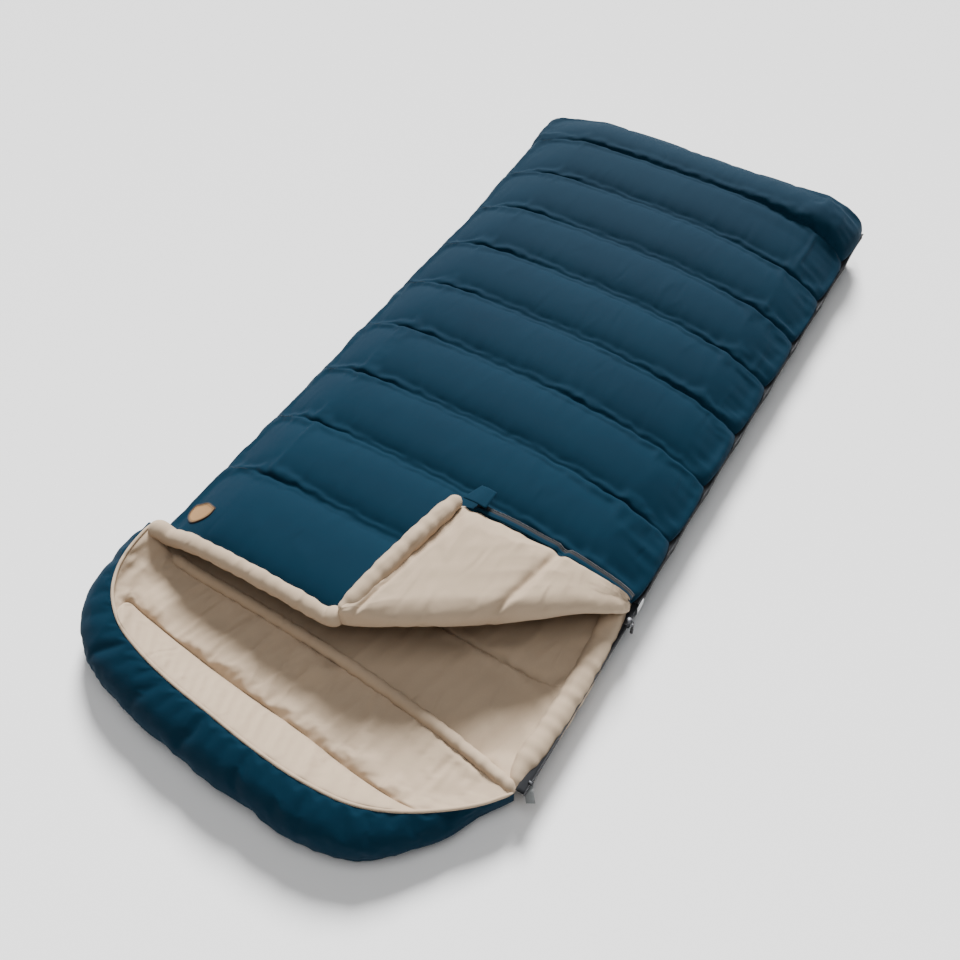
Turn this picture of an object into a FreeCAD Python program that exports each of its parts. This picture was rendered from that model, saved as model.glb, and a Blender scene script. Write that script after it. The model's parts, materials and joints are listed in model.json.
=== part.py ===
"""Rectangular quilted sleeping bag with a half-round hood, unzipped at the head-right corner.

+X points to the zip side, +Y to the foot end, +Z up. The origin is on the floor under the middle.
The bottom panel lies on the floor. The top panel arches over it, the freed corner of the top panel
lies folded back as a flap, and the hood is a padded half-round tray at the head end.
"""
import FreeCAD, Part
import math
import os
import re
from types import SimpleNamespace

import Sketcher

Vector = FreeCAD.Vector
Rotation = FreeCAD.Rotation
Placement = FreeCAD.Placement

X_AXIS = Vector(1, 0, 0)
Y_AXIS = Vector(0, 1, 0)
Z_AXIS = Vector(0, 0, 1)

# alias, value in mm or degrees, what it measures
DIMENSIONS = (
    ("half_width", 430, "side seam from the middle line"),
    ("foot_y", 990, "foot edge"),
    ("head_y", -655, "head edge of the top panel"),
    ("neck_y", -680, "head end of the quilted bottom panel"),
    ("shell_end_y", -696, "head end of the bottom shell"),
    ("foot_baffle", 145, "width of the baffle at the foot"),
    ("baffle_pitch", 163, "width of each middle baffle"),
    ("seam_z", 75, "height of the side seam, the hinge line of the top panel"),
    ("fabric", 1.2, "shell fabric with its binding"),
    ("lining", 1, "lining fabric"),
    ("layer_gap", 0.6, "room between fabric and batting"),
    ("shell_top_z", 69, "top edge of the bottom shell"),
    ("wall_radius", 58, "rounding of the bottom shell up to the side seam"),
    ("corner_radius", 62, "plan rounding of the foot corners"),
    ("bottom_loft", 43, "top of the bottom batting in the middle of a baffle"),
    ("bottom_seam_z", 27, "top of the bottom batting at a quilt seam"),
    ("batting_half", 378, "side of the bottom batting from the middle line"),
    ("batting_foot_y", 937, "foot end of the bottom batting"),
    ("seam_gap", 3, "half the room that a quilt seam takes between two battings"),
    ("crown_z", 194, "top of the top panel in the middle of a baffle"),
    ("valley_z", 174, "top of the top panel at a quilt seam"),
    ("edge_z", 88, "top of the top panel at the side seam"),
    ("ceiling_z", 148, "lining of the top panel in the middle of a baffle"),
    ("ceiling_seam_z", 153, "lining of the top panel at a quilt seam"),
    ("ceiling_edge_z", 80, "lining of the top panel at the side seam"),
    ("ceiling_half", 415, "side of the lining's arch from the middle line"),
    ("lining_half", 424, "side edge of the top lining"),
    ("lining_foot_y", 983, "foot edge of the top lining"),
    ("loft_left_x", -415, "hinge side of the top batting"),
    ("loft_right_x", 400, "zip side of the top batting"),
    ("foot_rounding", 95, "how far the top panel rounds down at the foot"),
    ("foot_wall", 16, "thickness of the top panel at the foot"),
    ("fold_head_x", 20, "fold line at the head edge"),
    ("fold_side_y", -310, "fold line at the side seam"),
    ("fold_gap", 10, "room left beside the fold line on each panel"),
    ("badge_x", -366, "badge, across the bag"),
    ("badge_y", -597, "badge, along the bag"),
    ("badge_half", 29, "badge, half its width"),
    ("badge_thickness", 1.6, "badge"),
    ("badge_gap", 1.2, "room under the badge"),
    ("tip_x", 75, "folded corner, across the bag"),
    ("tip_y", -335, "folded corner, along the bag"),
    ("flap_loft", 26, "thickness of the folded flap"),
    ("flap_rest", 2, "room around the folded flap's skins, and under it"),
    ("flap_edge_lift", 2, "underside of the folded flap above the panel's side edge"),
    ("flap_band_x", -20, "hinge side of the flap's layers before they are trimmed"),
    ("flap_band_y", -675, "head side of the flap's layers before they are trimmed"),
    ("flap_band_length", 420, "the flap's layers before they are trimmed, along the bag"),
    ("flap_strip_side", 40, "flap's zip strips from the side seam"),
    ("flap_strip_tip", 12, "flap's zip strips from the folded corner"),
    ("flap_batting_inset", 14, "edge of the flap's batting from the edge of its skins"),
    ("tube_radius", 11, "collar tube at the head edge"),
    ("collar_sink", 6, "collar tube below the top panel's outer face"),
    ("collar_side", 22, "collar tube's end from the side seam"),
    ("collar_fold", 26, "collar tube's end from the fold line at the head edge"),
    ("collar_gap", 1, "room between the collar tubes and the head edge"),
    ("flap_collar_set", 16, "flap's collar tube from the fold line"),
    ("flap_collar_aside", 4, "flap's collar tube off the line to the folded corner"),
    ("flap_collar_short", 12, "flap's collar tube, shorter than that line"),
    ("flap_collar_lift", 3, "flap's collar tube above the crown"),
    ("draft_radius", 20, "draft tube along the zip"),
    ("draft_x", 404, "middle of the draft tube"),
    ("draft_z", 55, "height of the draft tube's middle"),
    ("draft_head_y", -688, "head end of the draft tube"),
    ("draft_foot_y", 944, "foot end of the draft tube"),
    ("neck_tube_radius", 9, "tube across the neck"),
    ("neck_tube_half", 375, "end of the neck tube from the middle line"),
    ("neck_tube_y", -690, "middle of the neck tube"),
    ("neck_tube_z", 56, "height of the neck tube's middle"),
    ("zip_x", 442, "side zip coils from the middle line"),
    ("zip_foot_y", 1002, "foot zip coils"),
    ("side_zip_foot_y", 982, "foot end of the side zip coils"),
    ("side_tape_foot_y", 984, "foot end of the side zip tapes"),
    ("upper_zip_y", -290, "where the upper side zip starts"),
    ("foot_zip_half", 420, "end of the foot zip from the middle line"),
    ("lower_zip_z", 69.7, "height of the lower zip half"),
    ("upper_zip_z", 80.7, "height of the upper zip half"),
    ("coil_radius", 2, "zip coil"),
    ("tape_width", 14, "zip tape outside the seam"),
    ("tape_thickness", 1, "zip tape"),
    ("stop_length", 9, "zip end stop, across its coil"),
    ("stop_size", 6, "zip end stop"),
    ("stop_gap", 1, "room between the end stop and the coil's end"),
    ("grip_width", 18, "grip tab"),
    ("grip_length", 30, "grip tab"),
    ("grip_thickness", 1.4, "grip tab"),
    ("grip_inner_x", 436, "inner side of the grip tab"),
    ("grip_head_y", -734, "head end of the grip tab"),
    ("grip_drop", 8, "grip tab below the lower coil"),
    ("label_thickness", 1.2, "care label"),
    ("label_width", 26, "care label"),
    ("label_height", 34, "care label"),
    ("label_gap", 2, "care label outside the side seam"),
    ("label_y", -300, "head side of the care label"),
    ("label_drop", 44, "care label's lower edge below the lower coil"),
    ("slider_y", -330, "side slider where the zip is parted"),
    ("slider_x", 424, "foot slider beside the corner"),
    ("slider_width", 13, "slider across its coil"),
    ("slider_length", 20, "slider along its coil"),
    ("slider_height", 9.4, "slider"),
    ("slot_room", 0.8, "slider's slot above and below the tape"),
    ("channel_room", 0.7, "slider's channel around the coil"),
    ("lug_offset", 4.2, "slider's lug from the middle of its bar"),
    ("lug_thickness", 2, "slider's lug"),
    ("lug_half", 2.4, "slider's lug, half its height"),
    ("lug_past_bar", 2.2, "slider's lug beyond the middle of its bar"),
    ("bar_radius", 1.1, "slider's bar"),
    ("bar_length", 9, "slider's bar"),
    ("eye_radius", 1.5, "puller's eye"),
    ("bail_reach", 10, "puller's bar from the coil"),
    ("puller_length", 34, "puller"),
    ("puller_width", 5, "puller"),
    ("puller_thickness", 2.4, "puller"),
    ("tab_off_tip", 26, "middle of the garage tab from the folded corner, across the bag"),
    ("tab_gap", 5, "garage tab's root from the folded corner, towards the foot"),
    ("tab_lift", 12, "garage tab's root above the crown"),
    ("tab_root_half", 25, "garage tab at its root, half its width"),
    ("tab_end_half", 17, "garage tab at its free end, half its width"),
    ("tab_length", 48, "garage tab"),
    ("tab_thickness", 1.4, "garage tab"),
    ("hook_half", 10, "hook pad, half its width"),
    ("hook_start", 12, "near side of the hook pad from the tab's root"),
    ("hook_end", 36, "far side of the hook pad from the tab's root"),
    ("hook_thickness", 1, "hook pad"),
    ("hood_half", 455, "side of the hood from its middle line"),
    ("hood_middle_x", -30, "middle line of the hood"),
    ("hood_front_y", -983, "front edge of the hood"),
    ("hood_back_y", -706, "edge of the hood at the neck"),
    ("hood_corner", 200, "plan rounding of the hood"),
    ("hood_corner_least", 30, "smallest plan rounding inside the hood"),
    ("hood_rim_z", 124, "rim of the hood"),
    ("rim_inset", 74, "rim of the hood from its outer edge"),
    ("hood_floor_inset", 150, "inner seam of the hood from its outer edge"),
    ("hood_floor_z", 42, "floor batting of the hood"),
    ("hood_floor_gap", 6, "floor batting of the hood from the inner seam"),
    ("hood_batting_gap", 2, "hood's battings from its neck edge, towards the hinge"),
    ("hood_lining_room", 1.8, "ring batting outside the hood's lining"),
    ("hood_slope_inset", 8, "inside of the rim, from the rim"),
    ("hood_mouth_inset", 2, "hood's opening above the rim, from the rim"),
    ("hood_mouth_rise", 12, "top of that opening above the rim"),
    ("rim_piping_radius", 4, "piping along the hood's rim"),
    ("rim_piping_lift", 4.4, "middle of that piping above the rim"),
    ("rim_piping_inset", 1, "middle of that piping inside the rim"),
    ("hood_hinge_y", -702, "line where the hood folds up"),
    ("hood_hinge_z", 50, "height of that line"),
    ("hinge_room", 2, "room in front of the hood's hinge line"),
    ("hinge_room_low", 8, "bottom of that room below the hinge line"),
    ("hinge_wedge", 260, "height and depth of the room that the folded hood swings through"),
)

doc = FreeCAD.newDocument("SleepingBag")
sheet = doc.addObject("Spreadsheet::Sheet", "Dimensions")
for row, (alias, value, meaning) in enumerate(DIMENSIONS, start=1):
    sheet.set(f"A{row}", meaning)
    sheet.set(f"B{row}", str(value))
    sheet.setAlias(f"B{row}", alias)
doc.recompute()
mm = SimpleNamespace(**{alias: float(sheet.get(alias)) for alias, _, _ in DIMENSIONS})

pieces = []


def keep(piece, label):
    """Name a finished sub-part and list it for export."""
    piece.Label = label
    pieces.append(piece)
    return piece


def bind(thing, **sizes):
    """Bind properties to formulas of the sheet's aliases; x, y and z place the object."""
    for prop, formula in sizes.items():
        path = f".Placement.Base.{prop}" if prop in ("x", "y", "z") else prop
        thing.setExpression(path, formula_of(formula))


def formula_of(text):
    """The same formula with every alias written as a reference to the sheet."""
    return re.sub(r"[a-z_]+", lambda word: reference(word.group()), text)


def reference(word):
    return f"Dimensions.{word}" if hasattr(mm, word) else word


# ---------------------------------------------------------------- plain primitives

def box(name, length, width, height, x, y, z):
    piece = doc.addObject("Part::Box", name)
    bind(piece, Length=length, Width=width, Height=height, x=x, y=y, z=z)
    return piece


def rod(name, radius, length, x, y, z, direction):
    """A round bar that starts at x, y, z and runs along the direction."""
    piece = doc.addObject("Part::Cylinder", name)
    piece.Placement = Placement(Vector(), Rotation(Z_AXIS, direction))
    bind(piece, Radius=radius, Height=length, x=x, y=y, z=z)
    return piece


def solid_feature(label, shape):
    """A sub-part whose shape is worked out here from the sheet's values."""
    piece = doc.addObject("Part::Feature", label)
    piece.Shape = shape
    piece.Placement = Placement()
    return keep(piece, label)


# ---------------------------------------------------------------- sketched pieces

def sketch_on(body, role, name):
    plane = next(item for item in body.Origin.OriginFeatures if item.Role == role)
    sketch = body.newObject("Sketcher::SketchObject", name)
    sketch.AttachmentSupport = (plane, [""])
    sketch.MapMode = "FlatFace"
    return sketch


def outline(sketch, corners):
    """A closed outline of straight sides; each corner is a pair of formulas from the sketch's origin."""
    count = len(corners)
    places = [tuple(float(sketch.evalExpression(formula_of(part))) for part in corner) for corner in corners]
    for k in range(count):
        start, end = places[k], places[(k + 1) % count]
        sketch.addGeometry(Part.LineSegment(Vector(*start, 0), Vector(*end, 0)), False)
    for k in range(count):
        sketch.addConstraint(Sketcher.Constraint("Coincident", k, 2, (k + 1) % count, 1))
        for axis, kind in enumerate(("DistanceX", "DistanceY")):
            if abs(places[k][axis]) < 1e-9:
                sketch.addConstraint(Sketcher.Constraint("PointOnObject", k, 1, -2 + axis))
                continue
            number = sketch.addConstraint(Sketcher.Constraint(kind, -1, 1, k, 1, places[k][axis]))
            sketch.renameConstraint(number, f"corner{k}{'xy'[axis]}")
            sketch.setExpression(f"Constraints.corner{k}{'xy'[axis]}", formula_of(corners[k][axis]))


def circle(sketch, radius, across, up):
    """A circle whose middle is at two formulas from the sketch's origin."""
    place = [float(sketch.evalExpression(formula_of(part))) for part in (across, up)]
    size = float(sketch.evalExpression(formula_of(radius)))
    sketch.addGeometry(Part.Circle(Vector(*place, 0), Z_AXIS, size), False)
    number = sketch.addConstraint(Sketcher.Constraint("Radius", 0, size))
    sketch.setExpression(f"Constraints[{number}]", formula_of(radius))
    for axis, kind in enumerate(("DistanceX", "DistanceY")):
        if abs(place[axis]) < 1e-9:
            sketch.addConstraint(Sketcher.Constraint("PointOnObject", 0, 3, -2 + axis))
            continue
        number = sketch.addConstraint(Sketcher.Constraint(kind, -1, 1, 0, 3, place[axis]))
        sketch.setExpression(f"Constraints[{number}]", formula_of((across, up)[axis]))


def pad(body, sketch, length):
    """Thicken a sketch by half the length to each side."""
    feature = body.newObject("PartDesign::Pad", "Pad")
    feature.Profile = sketch
    feature.SideType = "Symmetric"
    bind(feature, Length=length)
    return feature


def pocket(body, sketch, length):
    """Cut a sketch out, half the length to each side."""
    feature = body.newObject("PartDesign::Pocket", "Pocket")
    feature.Profile = sketch
    feature.SideType = "Symmetric"
    bind(feature, Length=length)
    return feature


# ---------------------------------------------------------------- quilting

def seam_lines(head_end):
    """Quilt seams from the foot to the head: a foot baffle, eight middle ones and the head baffle."""
    first = mm.foot_y - mm.foot_baffle
    return [mm.foot_y] + [first - k * mm.baffle_pitch for k in range(9)] + [head_end]


# share of a baffle's width from its foot side, share of its full puff
PUFF = ((0.0, 0.0), (0.15, 0.62), (0.5, 1.0), (0.85, 0.62), (1.0, 0.0))
FOOT_PUFF = ((0.0, 0.0), (0.04, 0.2), (0.12, 0.5), (0.27, 0.85), (0.5, 1.0), (0.85, 0.62), (1.0, 0.0))
ARCH_POINTS = 20
TALL = 400
FAR = 600
# how steeply the top panel's arch falls to its two sides: powers of the share and of the rest
HINGE_SIDE = (5, 0.5)
ZIP_SIDE = (2, 0.625)


def fall(x, half):
    """1 in the middle of the panel and 0 at its side; the zip side slopes more than the hinge side."""
    steep, power = HINGE_SIDE if x < 0 else ZIP_SIDE
    return (1 - min(1.0, abs(x) / half) ** steep) ** power


def foot_fall(y, inset):
    """1 along the panel and 0 at the foot edge, where the panel rounds down to the foot zip."""
    reach = mm.foot_rounding
    share = min(1.0, max(0.0, (y - (mm.foot_y - inset - reach)) / reach))
    return (1 - share ** 3) ** 0.5


def outer_surface(inset):
    """Height of the top panel's outer face, moved inwards by the inset."""
    def height(x, y, puff):
        crown = mm.valley_z + (mm.crown_z - mm.valley_z) * puff - inset
        edge = mm.edge_z - inset
        return edge + (crown - edge) * fall(x, mm.half_width - inset) * foot_fall(y, 0)
    return height


def ceiling_surface(lift):
    """Height of the top panel's lining, moved up by the lift."""
    def height(x, y, puff):
        crown = mm.ceiling_seam_z + (mm.ceiling_z - mm.ceiling_seam_z) * puff + lift
        edge = mm.ceiling_edge_z + lift
        return edge + (crown - edge) * fall(x, mm.ceiling_half + lift) * foot_fall(y, mm.foot_wall - lift)
    return height


# how much of a layer's lift the folded flap keeps at its zip side, upwards and outwards
FLAP_EDGE_SHARE = 0.1
FLAP_SIDE_SHARE = 0.3


def flap_surface(lift):
    """Height above the closed top panel of a layer of the folded flap; it thins out at the zip."""
    def height(x, y, puff):
        edge = mm.edge_z + mm.flap_edge_lift + FLAP_EDGE_SHARE * lift
        half = mm.half_width + mm.flap_edge_lift + FLAP_SIDE_SHARE * lift
        return edge + (mm.crown_z + lift - edge) * fall(x, half)
    return height


def arch_edge(y, left, right, surface, puff):
    """A curve across the bag at y, with its points closer together at the sides."""
    middle, reach = (left + right) / 2, (right - left) / 2
    points = []
    for k in range(ARCH_POINTS + 1):
        x = middle - reach * math.cos(math.pi * k / ARCH_POINTS)
        points.append(Vector(x, y, surface(x, y, puff)))
    curve = Part.BSplineCurve()
    curve.interpolate(points)
    return curve.toShape()


def arch_wire(y, left, right, outer, inner, puff):
    """The closed outline between two surfaces across the bag at y."""
    top = arch_edge(y, left, right, outer, puff)
    bottom = arch_edge(y, left, right, inner, puff)
    sides = [Part.makeLine(Vector(x, y, inner(x, y, puff)), Vector(x, y, outer(x, y, puff)))
             for x in (left, right)]
    return Part.Wire(Part.__sortEdges__([top, sides[1], bottom, sides[0]]))


def stations(start, end):
    """y and puff at each section of one baffle; the foot baffle has more of them."""
    shares = FOOT_PUFF if start > mm.foot_y - mm.foot_baffle / 2 else PUFF
    return [(start + (end - start) * share, puff) for share, puff in shares]


def arch_slab(places, outer, inner):
    """A curved slab across the whole bag through its sections."""
    wires = [arch_wire(y, -mm.half_width, mm.half_width, outer, inner, puff) for y, puff in places]
    return Part.makeLoft(wires, True, True)


def clipped(slab, left, right, head_side, foot_side):
    """The part of a slab between four upright planes."""
    return slab.common(Part.makeBox(right - left, foot_side - head_side, TALL, Vector(left, head_side, 0)))


def puff_at(share):
    """Puff at a share of a baffle's width, between its stations."""
    for (start, low), (end, high) in zip(PUFF, PUFF[1:]):
        if share <= end:
            return low + (high - low) * (share - start) / (end - start)
    return 0.0


# ---------------------------------------------------------------- the fold of the corner

FOLD_START = Vector(mm.fold_head_x, mm.head_y, 0)
FOLD_END = Vector(mm.half_width, mm.fold_side_y, 0)
FOLD_ALONG = (FOLD_END - FOLD_START).normalize()
FOLD_OUT = FOLD_ALONG.cross(Z_AXIS)
TIP = Vector(mm.tip_x, mm.tip_y, 0)


def prism(corners, low=-10, height=TALL):
    """An upright prism over corners given in plan."""
    ring = [Vector(corner.x, corner.y, low) for corner in corners]
    return Part.Face(Part.makePolygon(ring + ring[:1])).extrude(Vector(0, 0, height))


def freed_corner():
    """Everything beyond the fold line, which the folded corner leaves open."""
    near = FOLD_OUT * -mm.fold_gap
    start, end = FOLD_START + near - FOLD_ALONG * FAR, FOLD_END + near + FOLD_ALONG * FAR
    return prism([start, end, end + FOLD_OUT * FAR, start + FOLD_OUT * FAR])


def flap_band(low, high):
    """A layer of the flap before it is trimmed to its triangle, between two lifts over the panel."""
    outer, inner = flap_surface(high), flap_surface(low)
    wire = arch_wire(mm.flap_band_y, mm.flap_band_x, mm.half_width, outer, inner, 1.0)
    return Part.Face(wire).extrude(Vector(0, mm.flap_band_length, 0))


def flap_triangle(inset):
    """The folded corner in plan: fold line, collar side and zip side, each moved in by the inset."""
    corners = [FOLD_START, FOLD_END, TIP]
    lines = []
    for k in range(3):
        start, end = corners[k], corners[(k + 1) % 3]
        along = (end - start).normalize()
        inward = Z_AXIS.cross(along)
        side = mm.fold_gap if k == 0 else 0
        lines.append((start + inward * (inset + side), along))
    return [crossing(lines[k - 1], lines[k]) for k in range(3)]


def crossing(first, second):
    """Where two lines in plan cross."""
    (start, along), (other, direction) = first, second
    normal = Vector(-direction.y, direction.x, 0)
    return start + along * ((other - start).dot(normal) / along.dot(normal))


def flap_layer(low, high, inset):
    return flap_band(low, high).common(prism(flap_triangle(inset)))


def flap_strip(low, high, near, far):
    """A strip of the flap's layer along its zip side, from near to far off that side, inside if positive."""
    along = (TIP - FOLD_END).normalize()
    inward = Z_AXIS.cross(along)
    start = FOLD_END + along * mm.flap_strip_side
    end = TIP - along * mm.flap_strip_tip
    return flap_band(low, high).common(prism([start + inward * near, end + inward * near,
                                              end + inward * far, start + inward * far]))


# ---------------------------------------------------------------- the hood's outline

def hood_wire(inset, z, back=None):
    """The hood's half-round outline at a height, moved in by the inset."""
    half = mm.hood_half - inset
    front = mm.hood_front_y + inset
    back = mm.hood_back_y if back is None else back
    corner = max(mm.hood_corner - inset, mm.hood_corner_least)
    left, right = mm.hood_middle_x - half, mm.hood_middle_x + half
    slant = corner * (1 - math.sqrt(0.5))

    def line(*ends):
        return Part.makeLine(*[Vector(x, y, z) for x, y in ends])

    def arc(*ends):
        return Part.Arc(*[Vector(x, y, z) for x, y in ends]).toShape()

    return Part.Wire([
        line((left, back), (left, front + corner)),
        arc((left, front + corner), (left + slant, front + slant), (left + corner, front)),
        line((left + corner, front), (right - corner, front)),
        arc((right - corner, front), (right - slant, front + slant), (right, front + corner)),
        line((right, front + corner), (right, back)),
        line((right, back), (left, back)),
    ])


# height as a share of the rim's, inset from the outer edge as a share of the rim's inset
HOOD_WALL = ((0.0, 0.5), (0.12, 0.16), (0.38, 0.0), (0.7, 0.22), (1.0, 1.0))


def hood_body(inset, back=None, top=0.0):
    """The hood's full outer form, moved in by the inset; top lets it rise past the rim."""
    wires = []
    for height, slope in HOOD_WALL:
        z = max(mm.hood_rim_z * height, inset)
        wires.append(hood_wire(mm.rim_inset * slope + inset, z, back))
    if top:
        wires.append(hood_wire(mm.rim_inset + inset, mm.hood_rim_z + top, back))
    return Part.makeLoft(wires, True, True)


def hood_hollow(inset, floor, back=None):
    """The space inside the hood: its slope falls from the rim to the inner seam, then to the floor."""
    wires = [hood_wire(mm.hood_floor_inset + inset, floor, back),
             hood_wire(mm.rim_inset + mm.hood_slope_inset + inset, mm.hood_rim_z, back),
             hood_wire(mm.rim_inset + mm.hood_mouth_inset + inset, mm.hood_rim_z + mm.hood_mouth_rise, back)]
    return Part.makeLoft(wires, True, True)


def neck_wedge():
    """Room above the hood's neck end, so that it can fold up past the neck tube and the top panel."""
    low, back = mm.hood_hinge_z - mm.hinge_room_low, mm.hood_hinge_y + mm.hinge_room
    edge = [Vector(-FAR, back, low), Vector(-FAR, back, low + mm.hinge_wedge),
            Vector(-FAR, back - mm.hinge_wedge, low + mm.hinge_wedge)]
    return Part.Face(Part.makePolygon(edge + edge[:1])).extrude(Vector(2 * FAR, 0, 0))


# ---------------------------------------------------------------- bottom panel

def rounded_box(name, inset, head_end, height):
    """A box with its lower sides and foot corners rounded, moved in by the inset."""
    block = box(name + "_block", f"2 * half_width - 2 * {inset}", f"foot_y - {inset} - ({head_end})", height,
                f"{inset} - half_width", head_end, inset)
    doc.recompute()
    foot = mm.foot_y - float(sheet.get("fabric")) * (inset != "0")
    uprights, lows = [], []
    for number, edge in enumerate(block.Shape.Edges, start=1):
        bounds = edge.BoundBox
        if bounds.ZLength > 1 and abs(bounds.YMax - foot) < 0.01:
            uprights.append(number)
        elif bounds.ZLength < 0.01 and bounds.ZMin < 10 and bounds.YMax > mm.head_y:
            lows.append(number)
    rounding = doc.addObject("Part::Fillet", name)
    rounding.Base = block
    corner = mm.corner_radius - block.Placement.Base.z
    wall = mm.wall_radius - block.Placement.Base.z
    rounding.Edges = ([(number, corner, corner) for number in uprights]
                      + [(number, wall, wall) for number in lows])
    return rounding


def bottom_lines():
    """Quilt seams of the bottom panel; its foot baffle ends where the shell starts to rise."""
    return [mm.batting_foot_y] + seam_lines(mm.neck_y)[1:]


def bottom_shell():
    outer = rounded_box("bottom_shell_outer", "0", "shell_end_y", "shell_top_z")
    inner = rounded_box("bottom_shell_inner", "fabric", "shell_end_y - wall_radius", "seam_z")
    shell = doc.addObject("Part::Cut", "bottom_shell")
    shell.Base = outer
    shell.Tool = inner
    keep(shell, "bottom_shell")


def bottom_batting(number, foot_side, head_side):
    """One baffle's batting: flat below, bulging above between its two seams."""
    label = f"bottom_batting_{number:02d}"
    body = doc.addObject("PartDesign::Body", label)
    sketch = sketch_on(body, "YZ_Plane", "Section")
    low, seam, crown = mm.fabric + mm.layer_gap, mm.bottom_seam_z, mm.bottom_loft
    near, far = head_side + mm.seam_gap, foot_side - mm.seam_gap
    sketch.addGeometry([Part.LineSegment(Vector(near, seam, 0), Vector(near, low, 0)),
                        Part.LineSegment(Vector(near, low, 0), Vector(far, low, 0)),
                        Part.LineSegment(Vector(far, low, 0), Vector(far, seam, 0)),
                        Part.Arc(Vector(far, seam, 0), Vector((near + far) / 2, crown, 0),
                                 Vector(near, seam, 0))], False)
    sketch.addConstraint([Sketcher.Constraint("Coincident", 0, 2, 1, 1),
                          Sketcher.Constraint("Coincident", 1, 2, 2, 1),
                          Sketcher.Constraint("Coincident", 2, 2, 3, 1),
                          Sketcher.Constraint("Coincident", 3, 2, 0, 1),
                          Sketcher.Constraint("Horizontal", 1),
                          Sketcher.Constraint("Vertical", 0),
                          Sketcher.Constraint("Vertical", 2)])
    rise, half = seam - low, (far - near) / 2
    bulge = crown - seam
    sizes = (("DistanceX", (-1, 1, 0, 2), near, str(near)),
             ("DistanceY", (-1, 1, 0, 2), low, "fabric + layer_gap"),
             ("DistanceX", (1, 1, 1, 2), far - near, f"{foot_side - head_side} - 2 * seam_gap"),
             ("DistanceY", (0, 2, 0, 1), rise, "bottom_seam_z - fabric - layer_gap"),
             ("DistanceY", (2, 1, 2, 2), rise, "bottom_seam_z - fabric - layer_gap"))
    for kind, ends, value, formula in sizes:
        index = sketch.addConstraint(Sketcher.Constraint(kind, *ends, value))
        sketch.setExpression(f"Constraints[{index}]", formula_of(formula))
    index = sketch.addConstraint(Sketcher.Constraint("Radius", 3, (half ** 2 + bulge ** 2) / (2 * bulge)))
    sketch.setExpression(f"Constraints[{index}]", formula_of(
        f"({half} ^ 2 + (bottom_loft - bottom_seam_z) ^ 2) / (2 * (bottom_loft - bottom_seam_z))"))
    pad(body, sketch, "2 * batting_half")
    keep(body, label)


def bottom_lining():
    """One sheet over all the battings, dipping at every seam."""
    lines = bottom_lines()

    def scallops(lift):
        edges = []
        for foot_side, head_side in zip(lines, lines[1:]):
            ends = [Vector(-mm.batting_half, y, mm.bottom_seam_z + lift) for y in (foot_side, head_side)]
            top = Vector(-mm.batting_half, (foot_side + head_side) / 2, mm.bottom_loft + lift)
            edges.append(Part.Arc(ends[0], top, ends[1]).toShape())
        return edges

    low = 2 * mm.layer_gap
    lower, upper = scallops(low), scallops(low + mm.lining)
    closing = [Part.makeLine(lower[0].firstVertex().Point, upper[0].firstVertex().Point),
               Part.makeLine(lower[-1].lastVertex().Point, upper[-1].lastVertex().Point)]
    wire = Part.Wire(Part.__sortEdges__(lower + upper + closing))
    solid_feature("bottom_lining", Part.Face(wire).extrude(Vector(2 * mm.batting_half, 0, 0)))


def bottom_tubes():
    keep(rod("draft_tube", "draft_radius", "draft_foot_y - draft_head_y",
             "draft_x", "draft_head_y", "draft_z", Y_AXIS), "draft_tube")
    keep(rod("neck_tube", "neck_tube_radius", "2 * neck_tube_half",
             "-neck_tube_half", "neck_tube_y", "neck_tube_z", X_AXIS), "neck_tube")
    keep(rod("side_seam_piping", "coil_radius", "foot_y - head_y",
             "-half_width", "head_y", "seam_z", Y_AXIS), "side_seam_piping")


def zip_half(which, side_start, height):
    """Tape and coil of one half of the side zip and of the foot zip."""
    tape_z = f"{height} - tape_thickness / 2"
    keep(box(f"side_zip_tape_{which}", "tape_width", f"side_tape_foot_y - ({side_start})", "tape_thickness",
             "zip_x - coil_radius - tape_width", side_start, tape_z), f"side_zip_tape_{which}")
    keep(rod(f"side_zip_coil_{which}", "coil_radius", f"side_zip_foot_y - ({side_start})",
             "zip_x", side_start, height, Y_AXIS), f"side_zip_coil_{which}")
    keep(box(f"foot_zip_tape_{which}", "2 * foot_zip_half", "tape_width", "tape_thickness",
             "-foot_zip_half", "zip_foot_y - coil_radius - tape_width", tape_z), f"foot_zip_tape_{which}")
    keep(rod(f"foot_zip_coil_{which}", "coil_radius", "2 * foot_zip_half",
             "-foot_zip_half", "zip_foot_y", height, X_AXIS), f"foot_zip_coil_{which}")


def zip_trim():
    """End stop, grip tab and blank care label."""
    keep(box("zip_end_stop", "stop_length", "stop_size", "stop_size", "zip_x - stop_length / 2",
             "shell_end_y - stop_gap - stop_size", "lower_zip_z - stop_size / 2"), "zip_end_stop")
    keep(box("zip_grip_tab", "grip_width", "grip_length", "grip_thickness", "grip_inner_x", "grip_head_y",
             "lower_zip_z - grip_drop"), "zip_grip_tab")
    keep(box("care_label", "label_thickness", "label_width", "label_height",
             "half_width + label_gap", "label_y", "lower_zip_z - label_drop"), "care_label")


def bottom_panel():
    bottom_shell()
    lines = bottom_lines()
    for number, (foot_side, head_side) in enumerate(zip(lines, lines[1:]), start=1):
        bottom_batting(number, foot_side, head_side)
    bottom_lining()
    bottom_tubes()
    zip_half("lower", "shell_end_y", "lower_zip_z")
    zip_trim()


# ---------------------------------------------------------------- top panel

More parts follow.
